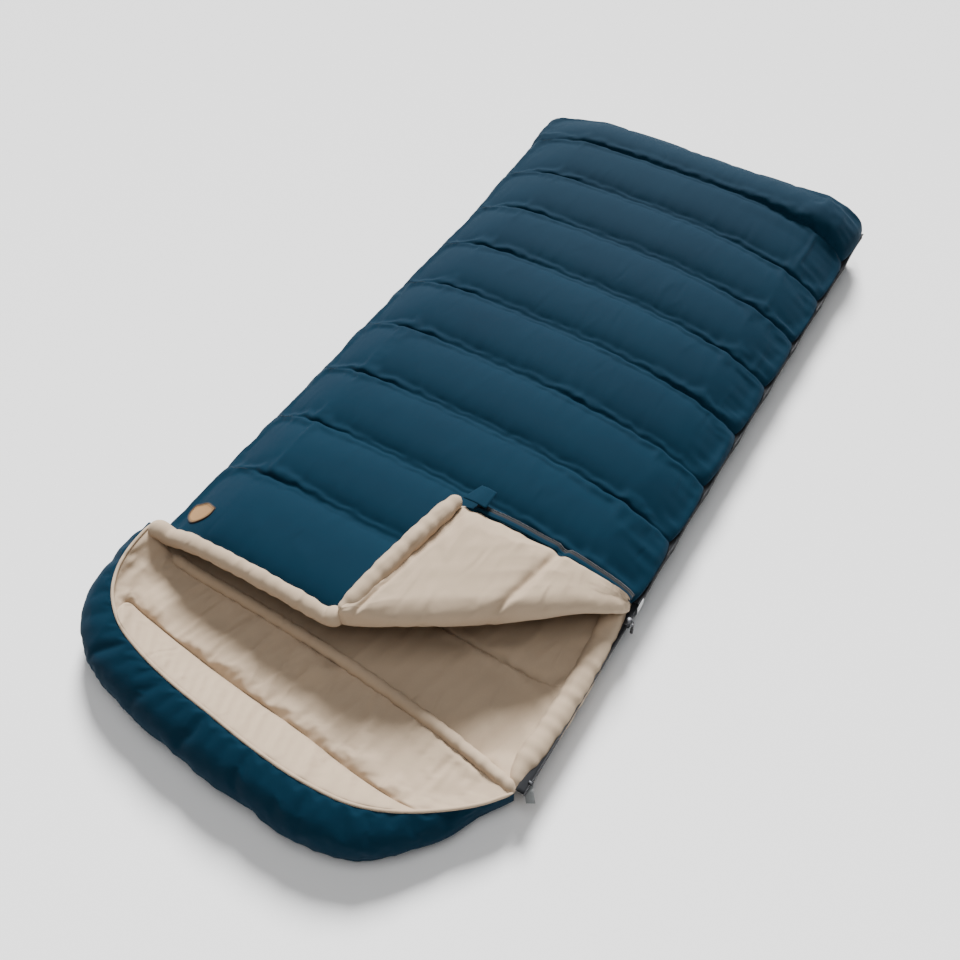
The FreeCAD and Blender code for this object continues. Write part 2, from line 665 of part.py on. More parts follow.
def top_panel():
    lines = seam_lines(mm.head_y)
    corner = freed_corner()
    baffles = list(zip(lines, lines[1:]))
    all_stations = stations(*baffles[0])
    for baffle in baffles[1:]:
        all_stations += stations(*baffle)[1:]
    shell = arch_slab(all_stations, outer_surface(0), outer_surface(mm.fabric))
    solid_feature("top_shell", shell.cut(corner))
    lining = clipped(arch_slab(all_stations, ceiling_surface(mm.lining), ceiling_surface(0)),
                     -mm.lining_half, mm.lining_half, mm.head_y, mm.lining_foot_y)
    solid_feature("top_lining", lining.cut(corner))
    outer = outer_surface(mm.fabric + mm.layer_gap)
    inner = ceiling_surface(mm.lining + mm.layer_gap)
    for number, (foot_side, head_side) in enumerate(baffles, start=1):
        batting = clipped(arch_slab(stations(foot_side, head_side), outer, inner),
                          mm.loft_left_x, mm.loft_right_x, head_side + mm.seam_gap, foot_side - mm.seam_gap)
        if head_side < mm.fold_side_y + 2 * mm.fold_gap:
            batting = batting.cut(corner)
        solid_feature(f"top_batting_{number:02d}", batting)
    head_collar()
    badge(*baffles[-1])
    zip_half("upper", "upper_zip_y", "upper_zip_z")


COLLAR_POINTS = 9


def head_collar():
    """The round tube sewn along the head edge, from the side seam to the fold."""
    path = []
    middle = outer_surface(mm.tube_radius + mm.collar_sink)
    left, right = mm.collar_side - mm.half_width, mm.fold_head_x - mm.collar_fold
    for k in range(COLLAR_POINTS + 1):
        x = left + (right - left) * (1 - math.cos(math.pi * k / COLLAR_POINTS / 2))
        path.append(Vector(x, mm.head_y - mm.tube_radius - mm.collar_gap, middle(x, mm.head_y, 0)))
    curve = Part.BSplineCurve()
    curve.interpolate(path)
    spine = Part.Wire([curve.toShape()])
    ring = Part.Wire([Part.makeCircle(mm.tube_radius, path[0], curve.tangent(0)[0])])
    solid_feature("head_collar_tube", spine.makePipeShell([ring], True, True))


def badge(foot_side, head_side):
    """A plain shield that lies just above the head baffle, square to it."""
    body = doc.addObject("PartDesign::Body", "badge")
    sketch = sketch_on(body, "XY_Plane", "Shield")
    outline(sketch, [("-0.9 * badge_half", "0.6 * badge_half"), ("-badge_half", "0"),
                     ("-0.5 * badge_half", "-0.65 * badge_half"), ("0.5 * badge_half", "-0.65 * badge_half"),
                     ("badge_half", "0"), ("0.9 * badge_half", "0.6 * badge_half")])
    pad(body, sketch, "badge_thickness")
    surface = outer_surface(0)

    def height(x, y):
        return surface(x, y, puff_at((foot_side - y) / (foot_side - head_side)))

    x, y, near = mm.badge_x, mm.badge_y, mm.badge_half / 3
    slope_x = (height(x + near, y) - height(x - near, y)) / (2 * near)
    slope_y = (height(x, y + near) - height(x, y - near)) / (2 * near)
    normal = Vector(-slope_x, -slope_y, 1).normalize()
    middle = Vector(x, y, height(x, y)) + normal * (mm.badge_thickness / 2 + mm.badge_gap)
    body.Placement = Placement(middle, Rotation(Z_AXIS, normal))
    keep(body, "badge")


# ---------------------------------------------------------------- corner flap

# sub-part, underside and top over the panel, near and far side off the flap's zip edge
FLAP_ZIP = (
    ("flap_zip_tape", 5, 6.2, -1, -15),
    ("flap_zip_coil", 3.4, 7.8, -16, -20),
    ("flap_zip_strip", 8.4, 9.6, -1, -9),
)


# deeper than the flap's collar tube reaches below the panel
FLAP_DEEP = 60


def corner_flap():
    skin_low, skin_high = mm.flap_rest, mm.flap_rest + mm.fabric
    loft = mm.flap_loft
    liner_low = loft + mm.layer_gap
    solid_feature("flap_shell", flap_layer(skin_low, skin_high, mm.flap_rest))
    solid_feature("flap_batting", flap_layer(skin_high + mm.layer_gap, loft, mm.flap_batting_inset))
    solid_feature("flap_lining", flap_layer(liner_low, liner_low + mm.lining, mm.flap_rest))
    for label, low, high, near, far in FLAP_ZIP:
        solid_feature(label, flap_strip(low, high, near, far))
    collar_start = FOLD_START - FOLD_OUT * (mm.fold_gap + mm.flap_collar_set)
    along = (TIP - collar_start).normalize()
    aside = (along - Z_AXIS.cross(along)) * mm.flap_collar_aside
    lift = Z_AXIS * (mm.crown_z + mm.tube_radius + mm.flap_collar_lift)
    tube = Part.makeCylinder(mm.tube_radius, (TIP - collar_start).Length - mm.flap_collar_short,
                             collar_start + aside + lift, along)
    flap_room = flap_band(-FLAP_DEEP, loft + mm.tube_radius).common(prism(flap_triangle(mm.flap_rest / 2)))
    solid_feature("flap_collar_tube", tube.cut(flap_room))


def garage_tab():
    """Fabric tab at the flap's tip with the hook pad under it."""
    root = TIP + Vector(mm.tab_off_tip, mm.tab_gap, mm.crown_z + mm.tab_lift)
    tab = doc.addObject("PartDesign::Body", "garage_tab")
    sketch = sketch_on(tab, "XY_Plane", "Trapezoid")
    outline(sketch, [("-tab_root_half", "0"), ("tab_root_half", "0"), ("tab_end_half", "tab_length"),
                     ("-tab_end_half", "tab_length")])
    pad(tab, sketch, "tab_thickness")
    tab.Placement = Placement(root, Rotation())
    keep(tab, "garage_tab")
    patch = doc.addObject("PartDesign::Body", "garage_tab_hook")
    sketch = sketch_on(patch, "XY_Plane", "Patch")
    outline(sketch, [("-hook_half", "hook_start"), ("hook_half", "hook_start"), ("hook_half", "hook_end"),
                     ("-hook_half", "hook_end")])
    pad(patch, sketch, "hook_thickness")
    patch.Placement = Placement(root - Vector(0, 0, mm.tab_thickness), Rotation())
    keep(patch, "garage_tab_hook")


# ---------------------------------------------------------------- hood

def hood():
    wedge = neck_wedge()
    inside = mm.fabric + mm.layer_gap
    beyond = mm.hood_back_y + mm.tube_radius
    batting_back = mm.hood_back_y - mm.hood_batting_gap
    cavity = hood_body(mm.fabric, beyond, mm.hood_mouth_rise)
    solid_feature("hood_shell", hood_body(0).cut(cavity).cut(wedge))
    hollow = hood_hollow(-mm.hood_lining_room, mm.layer_gap, beyond)
    solid_feature("hood_ring_batting", hood_body(inside, batting_back).cut(hollow).cut(wedge))
    floor_inset = mm.hood_floor_inset + mm.hood_floor_gap
    floor_wires = [hood_wire(floor_inset, z, batting_back) for z in (inside, mm.hood_floor_z)]
    solid_feature("hood_floor_batting", Part.makeLoft(floor_wires, True, True))
    liner_top = mm.hood_floor_z + mm.layer_gap
    outer = hood_hollow(0, liner_top)
    inner = hood_hollow(mm.lining, liner_top + mm.lining, beyond)
    lowest = Vector(-FAR, mm.hood_back_y - FAR + 1, mm.hood_rim_z - mm.lining)
    above_rim = Part.makeBox(2 * FAR, FAR, TALL, lowest)
    solid_feature("hood_lining", outer.cut(inner).cut(above_rim).cut(wedge))
    outline_wire = hood_wire(mm.rim_inset + mm.rim_piping_inset, mm.hood_rim_z + mm.rim_piping_lift)
    spine = Part.Wire(outline_wire.Edges[:5])
    start = spine.Edges[0].firstVertex().Point
    ring = Part.Wire([Part.makeCircle(mm.rim_piping_radius, start, Y_AXIS)])
    solid_feature("hood_rim_piping", spine.makePipeShell([ring], True, True).cut(wedge))


# ---------------------------------------------------------------- sliders

def slider(label, x, y, z, turn):
    """A slider that wraps its own coil only; the coil runs along the local Y axis and +X is outside."""
    body = doc.addObject("PartDesign::Body", label)
    shell = sketch_on(body, "XZ_Plane", "Outer")
    half, tall = "slider_width / 2", "slider_height / 2"
    outline(shell, [(f"-{half}", f"-{tall}"), (half, f"-{tall}"), (half, tall), (f"-{half}", tall)])
    pad(body, shell, "slider_length")
    slot = sketch_on(body, "XZ_Plane", "TapeSlot")
    edge, top = f"-{half} - coil_radius", "(tape_thickness / 2 + slot_room)"
    outline(slot, [(edge, "-" + top), ("0", "-" + top), ("0", top), (edge, top)])
    pocket(body, slot, "slider_length + coil_radius")
    channel = sketch_on(body, "XZ_Plane", "CoilChannel")
    circle(channel, "coil_radius + channel_room", "0", "0")
    pocket(body, channel, "slider_length + coil_radius")
    for side in (-1, 1):
        lug = sketch_on(body, "XZ_Plane", "Lug")
        root, end = f"{half} - lug_thickness / 2", "bail_reach + lug_past_bar"
        outline(lug, [(root, "-lug_half"), (end, "-lug_half"), (end, "lug_half"), (root, "lug_half")])
        lug.AttachmentOffset = Placement(Vector(0, 0, side * mm.lug_offset), Rotation())
        pad(body, lug, "lug_thickness")
    bar = sketch_on(body, "XZ_Plane", "Bar")
    circle(bar, "bar_radius", "bail_reach", "0")
    pad(body, bar, "bar_length")
    body.Placement = Placement(Vector(), Rotation(Z_AXIS, turn))
    bind(body, x=x, y=y, z=z)
    keep(body, label)


def puller(label, x, y, z, turn):
    """A flat puller that hangs from the slider's bar by its eye."""
    body = doc.addObject("PartDesign::Body", label)
    blade = sketch_on(body, "XZ_Plane", "Blade")
    half = "puller_width / 2"
    outline(blade, [(f"-{half}", f"-{half}"), (f"-{half}", f"{half} - puller_length"),
                    ("1 - " + half, f"{half} - 1 - puller_length"),
                    (f"{half} - 1", f"{half} - 1 - puller_length"),
                    (half, f"{half} - puller_length"), (half, f"-{half}"),
                    (half, "2"), (f"{half} - 0.8", half), (f"0.8 - {half}", half), (f"-{half}", "2")])
    pad(body, blade, "puller_thickness")
    eye = sketch_on(body, "XZ_Plane", "Eye")
    circle(eye, "eye_radius", "0", "0")
    pocket(body, eye, "2 * puller_thickness")
    body.Placement = Placement(Vector(), Rotation(Z_AXIS, turn))
    bind(body, x=x, y=y, z=z)
    keep(body, label)


def sliders():
    slider("head_slider", "zip_x", "slider_y", "lower_zip_z", 0)
    puller("head_puller", "zip_x + bail_reach", "slider_y", "lower_zip_z", 0)
    slider("foot_slider", "slider_x", "zip_foot_y", "lower_zip_z", 90)
    puller("foot_puller", "slider_x", "zip_foot_y + bail_reach", "lower_zip_z", 90)


# ---------------------------------------------------------------- check and write

def check():
    failed = [item.Name for item in doc.Objects if {"Invalid", "Error"} & set(item.State)]
    if failed:
        raise RuntimeError(f"failed objects: {failed}")
    for piece in pieces:
        shape = piece.Shape
        if shape.isNull() or not shape.isValid() or shape.Volume < 1:
            raise RuntimeError(f"bad shape: {piece.Label}")


def write():
    os.makedirs("parts", exist_ok=True)
    for piece in pieces:
        piece.Shape.exportStep(f"parts/{piece.Label}.step")
    print(len(pieces), "sub-parts,", round(sum(piece.Shape.Volume for piece in pieces) / 1e9, 4), "m3")


bottom_panel()
top_panel()
corner_flap()
garage_tab()
hood()
sliders()
doc.recompute()
check()
write()
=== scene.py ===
"""Looks of the quilted rectangular sleeping bag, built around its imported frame.

Metres throughout, in the frame's own axes: +X the zip side, +Y the foot end, +Z up.
"""
import json
import math

import bmesh
import bpy
import numpy as np
from mathutils import Matrix, Vector
from mathutils.bvhtree import BVHTree


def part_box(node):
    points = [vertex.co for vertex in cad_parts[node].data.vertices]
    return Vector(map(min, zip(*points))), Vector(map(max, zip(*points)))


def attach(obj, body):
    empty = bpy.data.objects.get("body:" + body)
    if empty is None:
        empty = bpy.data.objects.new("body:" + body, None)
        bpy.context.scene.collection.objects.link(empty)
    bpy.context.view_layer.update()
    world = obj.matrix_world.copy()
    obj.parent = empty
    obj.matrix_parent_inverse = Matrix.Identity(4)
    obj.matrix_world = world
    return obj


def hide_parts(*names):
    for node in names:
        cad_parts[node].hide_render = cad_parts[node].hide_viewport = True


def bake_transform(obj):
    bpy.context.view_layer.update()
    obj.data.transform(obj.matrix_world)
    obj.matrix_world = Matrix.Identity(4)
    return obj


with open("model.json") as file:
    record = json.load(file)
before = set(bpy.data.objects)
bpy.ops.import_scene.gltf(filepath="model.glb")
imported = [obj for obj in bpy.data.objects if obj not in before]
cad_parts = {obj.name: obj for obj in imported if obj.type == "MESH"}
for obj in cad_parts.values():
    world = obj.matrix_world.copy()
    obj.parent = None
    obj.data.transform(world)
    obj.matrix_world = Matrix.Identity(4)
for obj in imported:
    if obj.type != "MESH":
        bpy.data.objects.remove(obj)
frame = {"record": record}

scene = bpy.context.scene
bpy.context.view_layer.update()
JOINTS = {joint["name"]: joint for joint in frame["record"]["behaviour"]["joints"]}
UP = np.array([0.0, 0.0, 1.0])


def corner_pair(node):
    """A node's lowest and highest corners."""
    low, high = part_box(node)
    return np.array(low, float), np.array(high, float)


# ------------------------------------------------------------------ places taken from the frame

TOP_LOW, TOP_HIGH = corner_pair("top_shell")
LINING_HIGH = corner_pair("top_lining")[1]
BOTTOM_LOW, BOTTOM_HIGH = corner_pair("bottom_shell")
BASE_LOW = corner_pair("bottom_lining")[0]
COIL_LOW, COIL_HIGH = corner_pair("side_zip_coil_lower")
UPPER_LOW, UPPER_HIGH = corner_pair("side_zip_coil_upper")
FOOT_LOW = corner_pair("foot_zip_coil_lower")[0]

HALF = TOP_HIGH[0]
HEAD_Y = TOP_LOW[1]
FOOT_Y = TOP_HIGH[1]
SEAM_Z = JOINTS["top_panel_open"]["pos_m"][2]
CROWN_Z = TOP_HIGH[2]
VALLEY_DROP = 0.021
QUILT_DEPTH = 0.026
LINING_INSET = 0.006
FOOT_SINK = 0.28
FOOT_SINK_Y = 0.86
GROUND = 0.0008
NECK_Y = BASE_LOW[1]
HOOD_HINGE = np.array(JOINTS["hood_fold_up"]["pos_m"])
ZIP_X = (COIL_LOW[0] + COIL_HIGH[0]) / 2
ZIP_Z = (COIL_LOW[2] + COIL_HIGH[2]) / 2
UPPER_ZIP_Z = (UPPER_LOW[2] + UPPER_HIGH[2]) / 2

FOLD_HEAD = np.array(JOINTS["corner_unfold"]["pos_m"])
FOLD_DIRECTION = np.array(JOINTS["corner_unfold"]["axis"])
FOLD_SIDE = FOLD_HEAD + FOLD_DIRECTION * (HALF - FOLD_HEAD[0]) / FOLD_DIRECTION[0]
FOLD_OUT = np.cross(FOLD_DIRECTION, UP)
FOLD_OUT /= np.linalg.norm(FOLD_OUT)
TAB_LOW, TAB_HIGH = corner_pair("garage_tab")
TIP = np.array([(TAB_LOW[0] + TAB_HIGH[0]) / 2 - 0.026, TAB_LOW[1] - 0.005, CROWN_Z])

FOOT_BAFFLE = 0.145
BAFFLE = 0.163
BAFFLE_COUNT = 10


# ------------------------------------------------------------------ curves and grids

def unit(lines, floor=0.0):
    """Directions scaled to length one; floor is the shortest length they are divided by."""
    return lines / np.maximum(np.linalg.norm(lines, axis=-1, keepdims=True), floor)


def smooth_step(value, low, high):
    """0 below low, 1 above high and an even S between."""
    share = np.clip((value - low) / (high - low), 0, 1)
    return share * share * (3 - 2 * share)


def travel_along(line):
    """How far along a line of points each of them lies."""
    return np.r_[0, np.cumsum(np.linalg.norm(np.diff(line, axis=0), axis=1))]


def resample(points, count):
    """count points evenly spaced along a line of points."""
    points = np.asarray(points, float)
    lengths = travel_along(points)
    places = np.linspace(0, lengths[-1], count)
    return np.stack([np.interp(places, lengths, points[:, k]) for k in range(points.shape[1])], axis=1)


def smooth_line(points, count):
    """count points evenly spaced along a smooth curve through a few points."""
    points = np.asarray(points, float)
    padded = np.vstack([2 * points[0] - points[1], points, 2 * points[-1] - points[-2]])
    dense = []
    for k in range(len(points) - 1):
        before, start, end, after = padded[k:k + 4]
        for share in np.linspace(0, 1, 24, endpoint=k == len(points) - 2):
            dense.append(0.5 * (2 * start + (end - before) * share
                                + (2 * before - 5 * start + 4 * end - after) * share ** 2
                                + (3 * start - before - 3 * end + after) * share ** 3))
    return resample(dense, count)


def grid_normals(points):
    """Unit normals of a grid of points, along rows crossed with columns."""
    along = np.gradient(points, axis=0)
    across = np.gradient(points, axis=1)
    return unit(np.cross(across, along), 1e-9)


def level_grid(x, y, z):
    """Grid points at rows y and columns x; z is a height for each point."""
    points = np.empty((len(y), len(x), 3))
    points[..., 0] = x[None]
    points[..., 1] = y[:, None]
    points[..., 2] = z
    return points


def grid_faces(rows, columns, closed=False):
    faces = []
    last = columns if closed else columns - 1
    for r in range(rows - 1):
        for c in range(last):
            d = (c + 1) % columns
            faces.append((r * columns + c, r * columns + d, (r + 1) * columns + d, (r + 1) * columns + c))
    return faces


def new_object(name, data):
    thing = bpy.data.objects.new(name, data)
    scene.collection.objects.link(thing)
    return thing


def ring_faces(base, steps, sides):
    """Faces that join steps + 1 rings of vertices, numbered from base."""
    return [tuple(base + k for k in face) for face in grid_faces(steps + 1, sides, True)]


def new_piece(name, vertices, faces, material):
    mesh = bpy.data.meshes.new(name)
    mesh.from_pydata([tuple(map(float, v)) for v in vertices], [], faces)
    mesh.polygons.foreach_set("use_smooth", [True] * len(mesh.polygons))
    mesh.materials.append(material)
    return new_object(name, mesh)


def grid_piece(name, points, material, closed=False):
    rows, columns = points.shape[:2]
    return new_piece(name, points.reshape(-1, 3), grid_faces(rows, columns, closed), material)


def tube_piece(name, path, radius, material, sides=16, ends=True):
    """A round tube along a path; radius is one number or one for each point."""
    path = np.asarray(path, float)
    radius = np.broadcast_to(np.asarray(radius, float), len(path)).copy()
    if ends:
        caps = np.array([0.15, 0.62, 0.9])
        radius[:3] *= caps
        radius[-3:] *= caps[::-1]
    tangent = unit(np.gradient(path, axis=0))
    reference = UP if abs(tangent[:, 2]).mean() < 0.8 else np.array([1.0, 0, 0])
    side = unit(np.cross(tangent, reference))
    top = np.cross(side, tangent)
    angles = np.linspace(0, 2 * math.pi, sides, endpoint=False)
    ring = np.cos(angles)[None, :, None] * side[:, None] + np.sin(angles)[None, :, None] * top[:, None]
    points = path[:, None] + ring * radius[:, None, None]
    faces = grid_faces(len(path), sides, True)
    faces.append(tuple(range(sides - 1, -1, -1)))
    faces.append(tuple((len(path) - 1) * sides + k for k in range(sides)))
    return new_piece(name, points.reshape(-1, 3), faces, material)


def waves(position, lengths, height, seed):
    """A sum of sine waves with fixed random phases, about height tall."""
    phases = np.random.default_rng(seed).uniform(0, 2 * math.pi, len(lengths))
    total = sum(np.sin(2 * math.pi * position / length + phase) for length, phase in zip(lengths, phases))
    return height * total / math.sqrt(len(lengths))


def creases(x, y, height, seed, spacing=0.045, drift=0.25):
    """Sharp-crested wrinkles that run mostly along y."""
    chosen = np.random.default_rng(seed)
    total = np.zeros(np.broadcast(x, y).shape)
    for k in range(4):
        length = spacing * (0.6 + 0.45 * k)
        phase = chosen.uniform(0, 2 * math.pi, 3)
        bend = drift * np.sin(y / 0.07 + phase[0]) + 0.5 * drift * np.sin(y / 0.031 + phase[1])
        strength = 0.5 + 0.5 * np.sin(y / (0.05 + 0.02 * k) + x / 0.11 + phase[2])
        total += strength * (1 - np.abs(np.sin(math.pi * x / length + bend + phase[1])) ** 0.6 - 0.35)
    return total * height / 2


def subdivide(piece, levels=1):
    modifier = piece.modifiers.new("Subdivision", "SUBSURF")
    modifier.levels = levels
    modifier.render_levels = levels


def thicken(piece, thickness):
    modifier = piece.modifiers.new("Thickness", "SOLIDIFY")
    modifier.thickness = thickness
    modifier.offset = 0


def declare(piece, slot, body, *nodes):
    """Hide the CAD solids a piece stands for, if any, and attach the piece to the body it rides on. slot is
    not used.
    """
    if nodes:
        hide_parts(*nodes)
    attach(piece, body)


# ------------------------------------------------------------------ cloth simulation

SOFT_JOBS = []
CLOTH_FRAMES = 18
CLOTH = {"quality": 4, "mass": 0.25, "air_damping": 3, "tension_stiffness": 12, "compression_stiffness": 12,
         "shear_stiffness": 4, "bending_stiffness": 0.2, "vertex_group_mass": "seams", "use_pressure": True}


def puff_up(piece, pinned, pressure=3.0, growth=0.02, cap=0.012):
    """Queue a piece for the cloth simulation, with its seams held."""
    SOFT_JOBS.append((piece, pinned, pressure, growth, cap))


def simulate():
    """Blow all queued pieces up together, then keep the result in their meshes."""
    if not SOFT_JOBS:
        return
    scene.frame_start = 1
    scene.frame_end = CLOTH_FRAMES
    for piece, pinned, pressure, growth, _ in SOFT_JOBS:
        group = piece.vertex_groups.new(name="seams")
        group.add([int(k) for k in pinned], 1.0, "REPLACE")
        cloth = piece.modifiers.new("Cloth", "CLOTH")
        for setting, value in CLOTH.items():
            setattr(cloth.settings, setting, value)
        cloth.settings.shrink_min = -growth
        cloth.settings.uniform_pressure_force = pressure
        cloth.settings.effector_weights.gravity = 0
        cloth.collision_settings.use_collision = False
        cloth.collision_settings.use_self_collision = False
        cloth.point_cache.frame_start = 1
        cloth.point_cache.frame_end = CLOTH_FRAMES
    for number in range(1, CLOTH_FRAMES + 1):
        scene.frame_set(number)
    graph = bpy.context.evaluated_depsgraph_get()
    for piece, _, _, _, cap in SOFT_JOBS:
        count = len(piece.data.vertices)
        start = np.empty(count * 3)
        piece.data.vertices.foreach_get("co", start)
        blown = np.empty(count * 3)
        piece.evaluated_get(graph).data.vertices.foreach_get("co", blown)
        start = start.reshape(-1, 3)
        moved = blown.reshape(-1, 3) - start
        far = np.linalg.norm(moved, axis=1, keepdims=True)
        moved *= np.minimum(1, cap / np.maximum(far, 1e-9))
        moved[~np.isfinite(moved)] = 0
        piece.modifiers.remove(piece.modifiers["Cloth"])
        piece.vertex_groups.clear()
        piece.data.vertices.foreach_set("co", (start + moved).ravel())
        piece.data.update()
    scene.frame_set(1)


# ------------------------------------------------------------------ materials

def node_material(name):
    """A new material, its shader and its object coordinates."""
    material = bpy.data.materials.new(name)
    material.use_nodes = True
    place = add(material, "ShaderNodeTexCoord")
    return material, material.node_tree.nodes["Principled BSDF"], place.outputs["Object"]


def fill(material, node, **values):
    """Set or link inputs and settings of a node: Two_Words is input "Two Words", _1 is input number 1."""
    for key, value in values.items():
        socket = node.inputs[int(key[1:])] if key[0] == "_" else node.inputs.get(key.replace("_", " "))
        if socket is None:
            setattr(node, key, value)
        elif isinstance(value, bpy.types.NodeSocket):
            material.node_tree.links.new(value, socket)
        else:
            socket.default_value = value


def add(material, kind, **values):
    node = material.node_tree.nodes.new(kind)
    fill(material, node, **values)
    return node


def mix_colours(material, shader, first, second, share):
    """Colour the shader with a mix of two colours."""
    blend = add(material, "ShaderNodeMix", data_type="RGBA", A=(*first, 1), B=(*second, 1), Factor=share)
    fill(material, shader, Base_Color=blend.outputs["Result"])


def vary_roughness(material, shader, source, low, high):
    rough = add(material, "ShaderNodeMapRange", To_Min=low, To_Max=high, Value=source)
    fill(material, shader, Roughness=rough.outputs["Result"])


def fabric(name, colour, deep, weave=0.0009, weave_height=0.00012, crease=0.0012, sheen=0.25,
           sheen_tint=(1, 1, 1, 1), roughness=0.82, specular=0.25, fold_scale=26.0):
    """Woven cloth: broad shade changes, fine slubs, a two-way weave and soft creases in its bump."""
    material, shader, place = node_material(name)
    broad = add(material, "ShaderNodeTexNoise", Scale=5.0, Detail=4.0, Roughness=0.6, Vector=place)
    slub = add(material, "ShaderNodeTexNoise", Scale=420.0, Detail=2.0, Roughness=0.6, Vector=place)
    share = add(material, "ShaderNodeMath", operation="MULTIPLY", _0=broad.outputs["Fac"], _1=0.62)
    mixed = add(material, "ShaderNodeMath", operation="MULTIPLY_ADD", _0=slub.outputs["Fac"], _1=0.45,
                _2=share.outputs[0])
    mix_colours(material, shader, deep, colour, mixed.outputs[0])
    warp, weft = (add(material, "ShaderNodeTexWave", wave_type="BANDS", bands_direction=direction,
                      Scale=0.314 / weave, Distortion=0.6, Vector=place) for direction in ("X", "Y"))
    both = add(material, "ShaderNodeMath", operation="MULTIPLY", _0=warp.outputs["Fac"],
               _1=weft.outputs["Fac"])
    fine = add(material, "ShaderNodeBump", Strength=0.5, Distance=weave_height, Height=both.outputs[0])
    turn = add(material, "ShaderNodeMapping", Rotation=(0.0, 0.0, 0.35), Scale=(1.0, 0.38, 1.0), Vector=place)
    folds = add(material, "ShaderNodeTexNoise", noise_type="RIDGED_MULTIFRACTAL", Scale=fold_scale,
                Detail=2.0, Roughness=0.45, Distortion=0.5, Vector=turn.outputs["Vector"])
    soft = add(material, "ShaderNodeBump", Strength=0.6, Distance=crease, Height=folds.outputs["Fac"],
               Normal=fine.outputs["Normal"])
    vary_roughness(material, shader, slub.outputs["Fac"], roughness - 0.07, roughness + 0.07)
    fill(material, shader, Normal=soft.outputs["Normal"], Sheen_Weight=sheen, Sheen_Roughness=0.45,
         Sheen_Tint=sheen_tint, Specular_IOR_Level=specular)
    return material


def hard(name, colour, worn, metallic, roughness, grain=900.0):
    """Metal or plastic with fine grain and lighter wear in patches."""
    material, shader, place = node_material(name)
    noise = add(material, "ShaderNodeTexNoise", Scale=grain, Detail=4.0, Vector=place)
    patches = add(material, "ShaderNodeTexNoise", Scale=160.0, Detail=3.0, Vector=place)
    edge = add(material, "ShaderNodeMapRange", From_Min=0.5, From_Max=0.75, Value=patches.outputs["Fac"])
    mix_colours(material, shader, colour, worn, edge.outputs["Result"])
    vary_roughness(material, shader, noise.outputs["Fac"], roughness - 0.08, roughness + 0.1)
    bump = add(material, "ShaderNodeBump", Strength=0.3, Distance=0.00008, Height=noise.outputs["Fac"])
    fill(material, shader, Normal=bump.outputs["Normal"], Metallic=metallic)
    return material


NAVY = fabric("navy_shell", (0.0034, 0.0240, 0.0440), (0.0014, 0.0140, 0.0290), sheen=0.025,
              sheen_tint=(0.55, 0.75, 1, 1), specular=0.07, crease=0.0030)
BEIGE = fabric("beige_lining", (0.470, 0.362, 0.258), (0.385, 0.290, 0.200), weave=0.0011, sheen=0.08,
               sheen_tint=(1, 0.93, 0.82, 1), roughness=0.88, crease=0.0090, fold_scale=30.0)
TAPE = fabric("zip_tape", (0.010, 0.011, 0.014), (0.006, 0.007, 0.009), weave=0.0013, crease=0.0003)
GREY = fabric("grip_webbing", (0.22, 0.23, 0.23), (0.15, 0.16, 0.16), weave=0.0016, weave_height=0.0003,
              crease=0.0002)
LABEL = fabric("label_cloth", (0.60, 0.61, 0.62), (0.50, 0.51, 0.52), weave=0.0006, crease=0.0004, sheen=0.4)
THREAD = fabric("navy_thread", (0.002, 0.010, 0.019), (0.001, 0.006, 0.012), weave=0.0005, crease=0.0001)
BADGE_THREAD = fabric("badge_thread", (0.060, 0.030, 0.012), (0.035, 0.018, 0.008), weave=0.0005,
                      crease=0.0001)
LEATHER = fabric("badge_leather", (0.36, 0.205, 0.085), (0.25, 0.135, 0.055), weave=0.0022,
                 weave_height=0.0002, crease=0.0003, sheen=0.0, roughness=0.6)
COIL = hard("zip_coil", (0.012, 0.013, 0.016), (0.03, 0.032, 0.036), 0.0, 0.42)
METAL = hard("zip_metal", (0.035, 0.036, 0.040), (0.14, 0.14, 0.145), 0.85, 0.38)
PULLER = hard("puller_gunmetal", (0.085, 0.085, 0.09), (0.26, 0.26, 0.265), 0.9, 0.34)
HOOK = hard("hook_pad", (0.012, 0.018, 0.030), (0.02, 0.03, 0.05), 0.0, 0.6)


# ------------------------------------------------------------------ quilting rows

def seam_lines(head_end):
    """y of the quilting seams, from the foot to the head."""
    first = FOOT_Y - FOOT_BAFFLE
    return [FOOT_Y] + [first - k * BAFFLE for k in range(BAFFLE_COUNT - 1)] + [head_end]


def baffle_rows(lines, count):
    """y, puff and whether the row is a seam, for count rows in each baffle."""
    rows = [(lines[0], 0.0, True)]
    for baffle, (start, end) in enumerate(zip(lines, lines[1:])):
        for k in range(1, count + 1):
            share = 0.35 * k / count + 0.65 * (0.5 - 0.5 * math.cos(math.pi * k / count))
            share = share ** (1.3 if baffle == 0 else 1)
            puff = max(0.0, 1 - abs(2 * share - 1) ** 2.3) ** 0.55
            rows.append((start + (end - start) * share, puff, k == count))
    return rows


def row_values(rows):
    """The y and the puff of each row."""
    return np.array([row[0] for row in rows]), np.array([row[1] for row in rows])


def fall(x, y, half):
    """1 in the middle of the panel and 0 at its side; squarer on the zip side of the foot."""
    share = np.clip(np.abs(x) / half, 0, 1)
    foot = smooth_step(y, 0.78, 0.96)
    left = (1 - share ** (4.0 + 1.0 * foot)) ** 0.5
    right = (1 - share ** (2 + 6.0 * foot)) ** (0.625 - 0.125 * foot)
    return np.where(x < 0, left, right)


def foot_fall(y, end, reach=0.045):
    """1 along the panel and 0 at its foot end."""
    share = np.clip((y - (end - reach)) / reach, 0, 1)
    return np.sqrt(np.maximum(0, 1 - share ** 4))


def arch_columns(half, low, high, count):
    """x values evenly spaced along the arch's own curve."""
    x = -half * np.cos(np.linspace(0, math.pi, 600))
    return resample(np.stack([x, low + (high - low) * fall(x, 0.0, half)], axis=1), count)[:, 0]


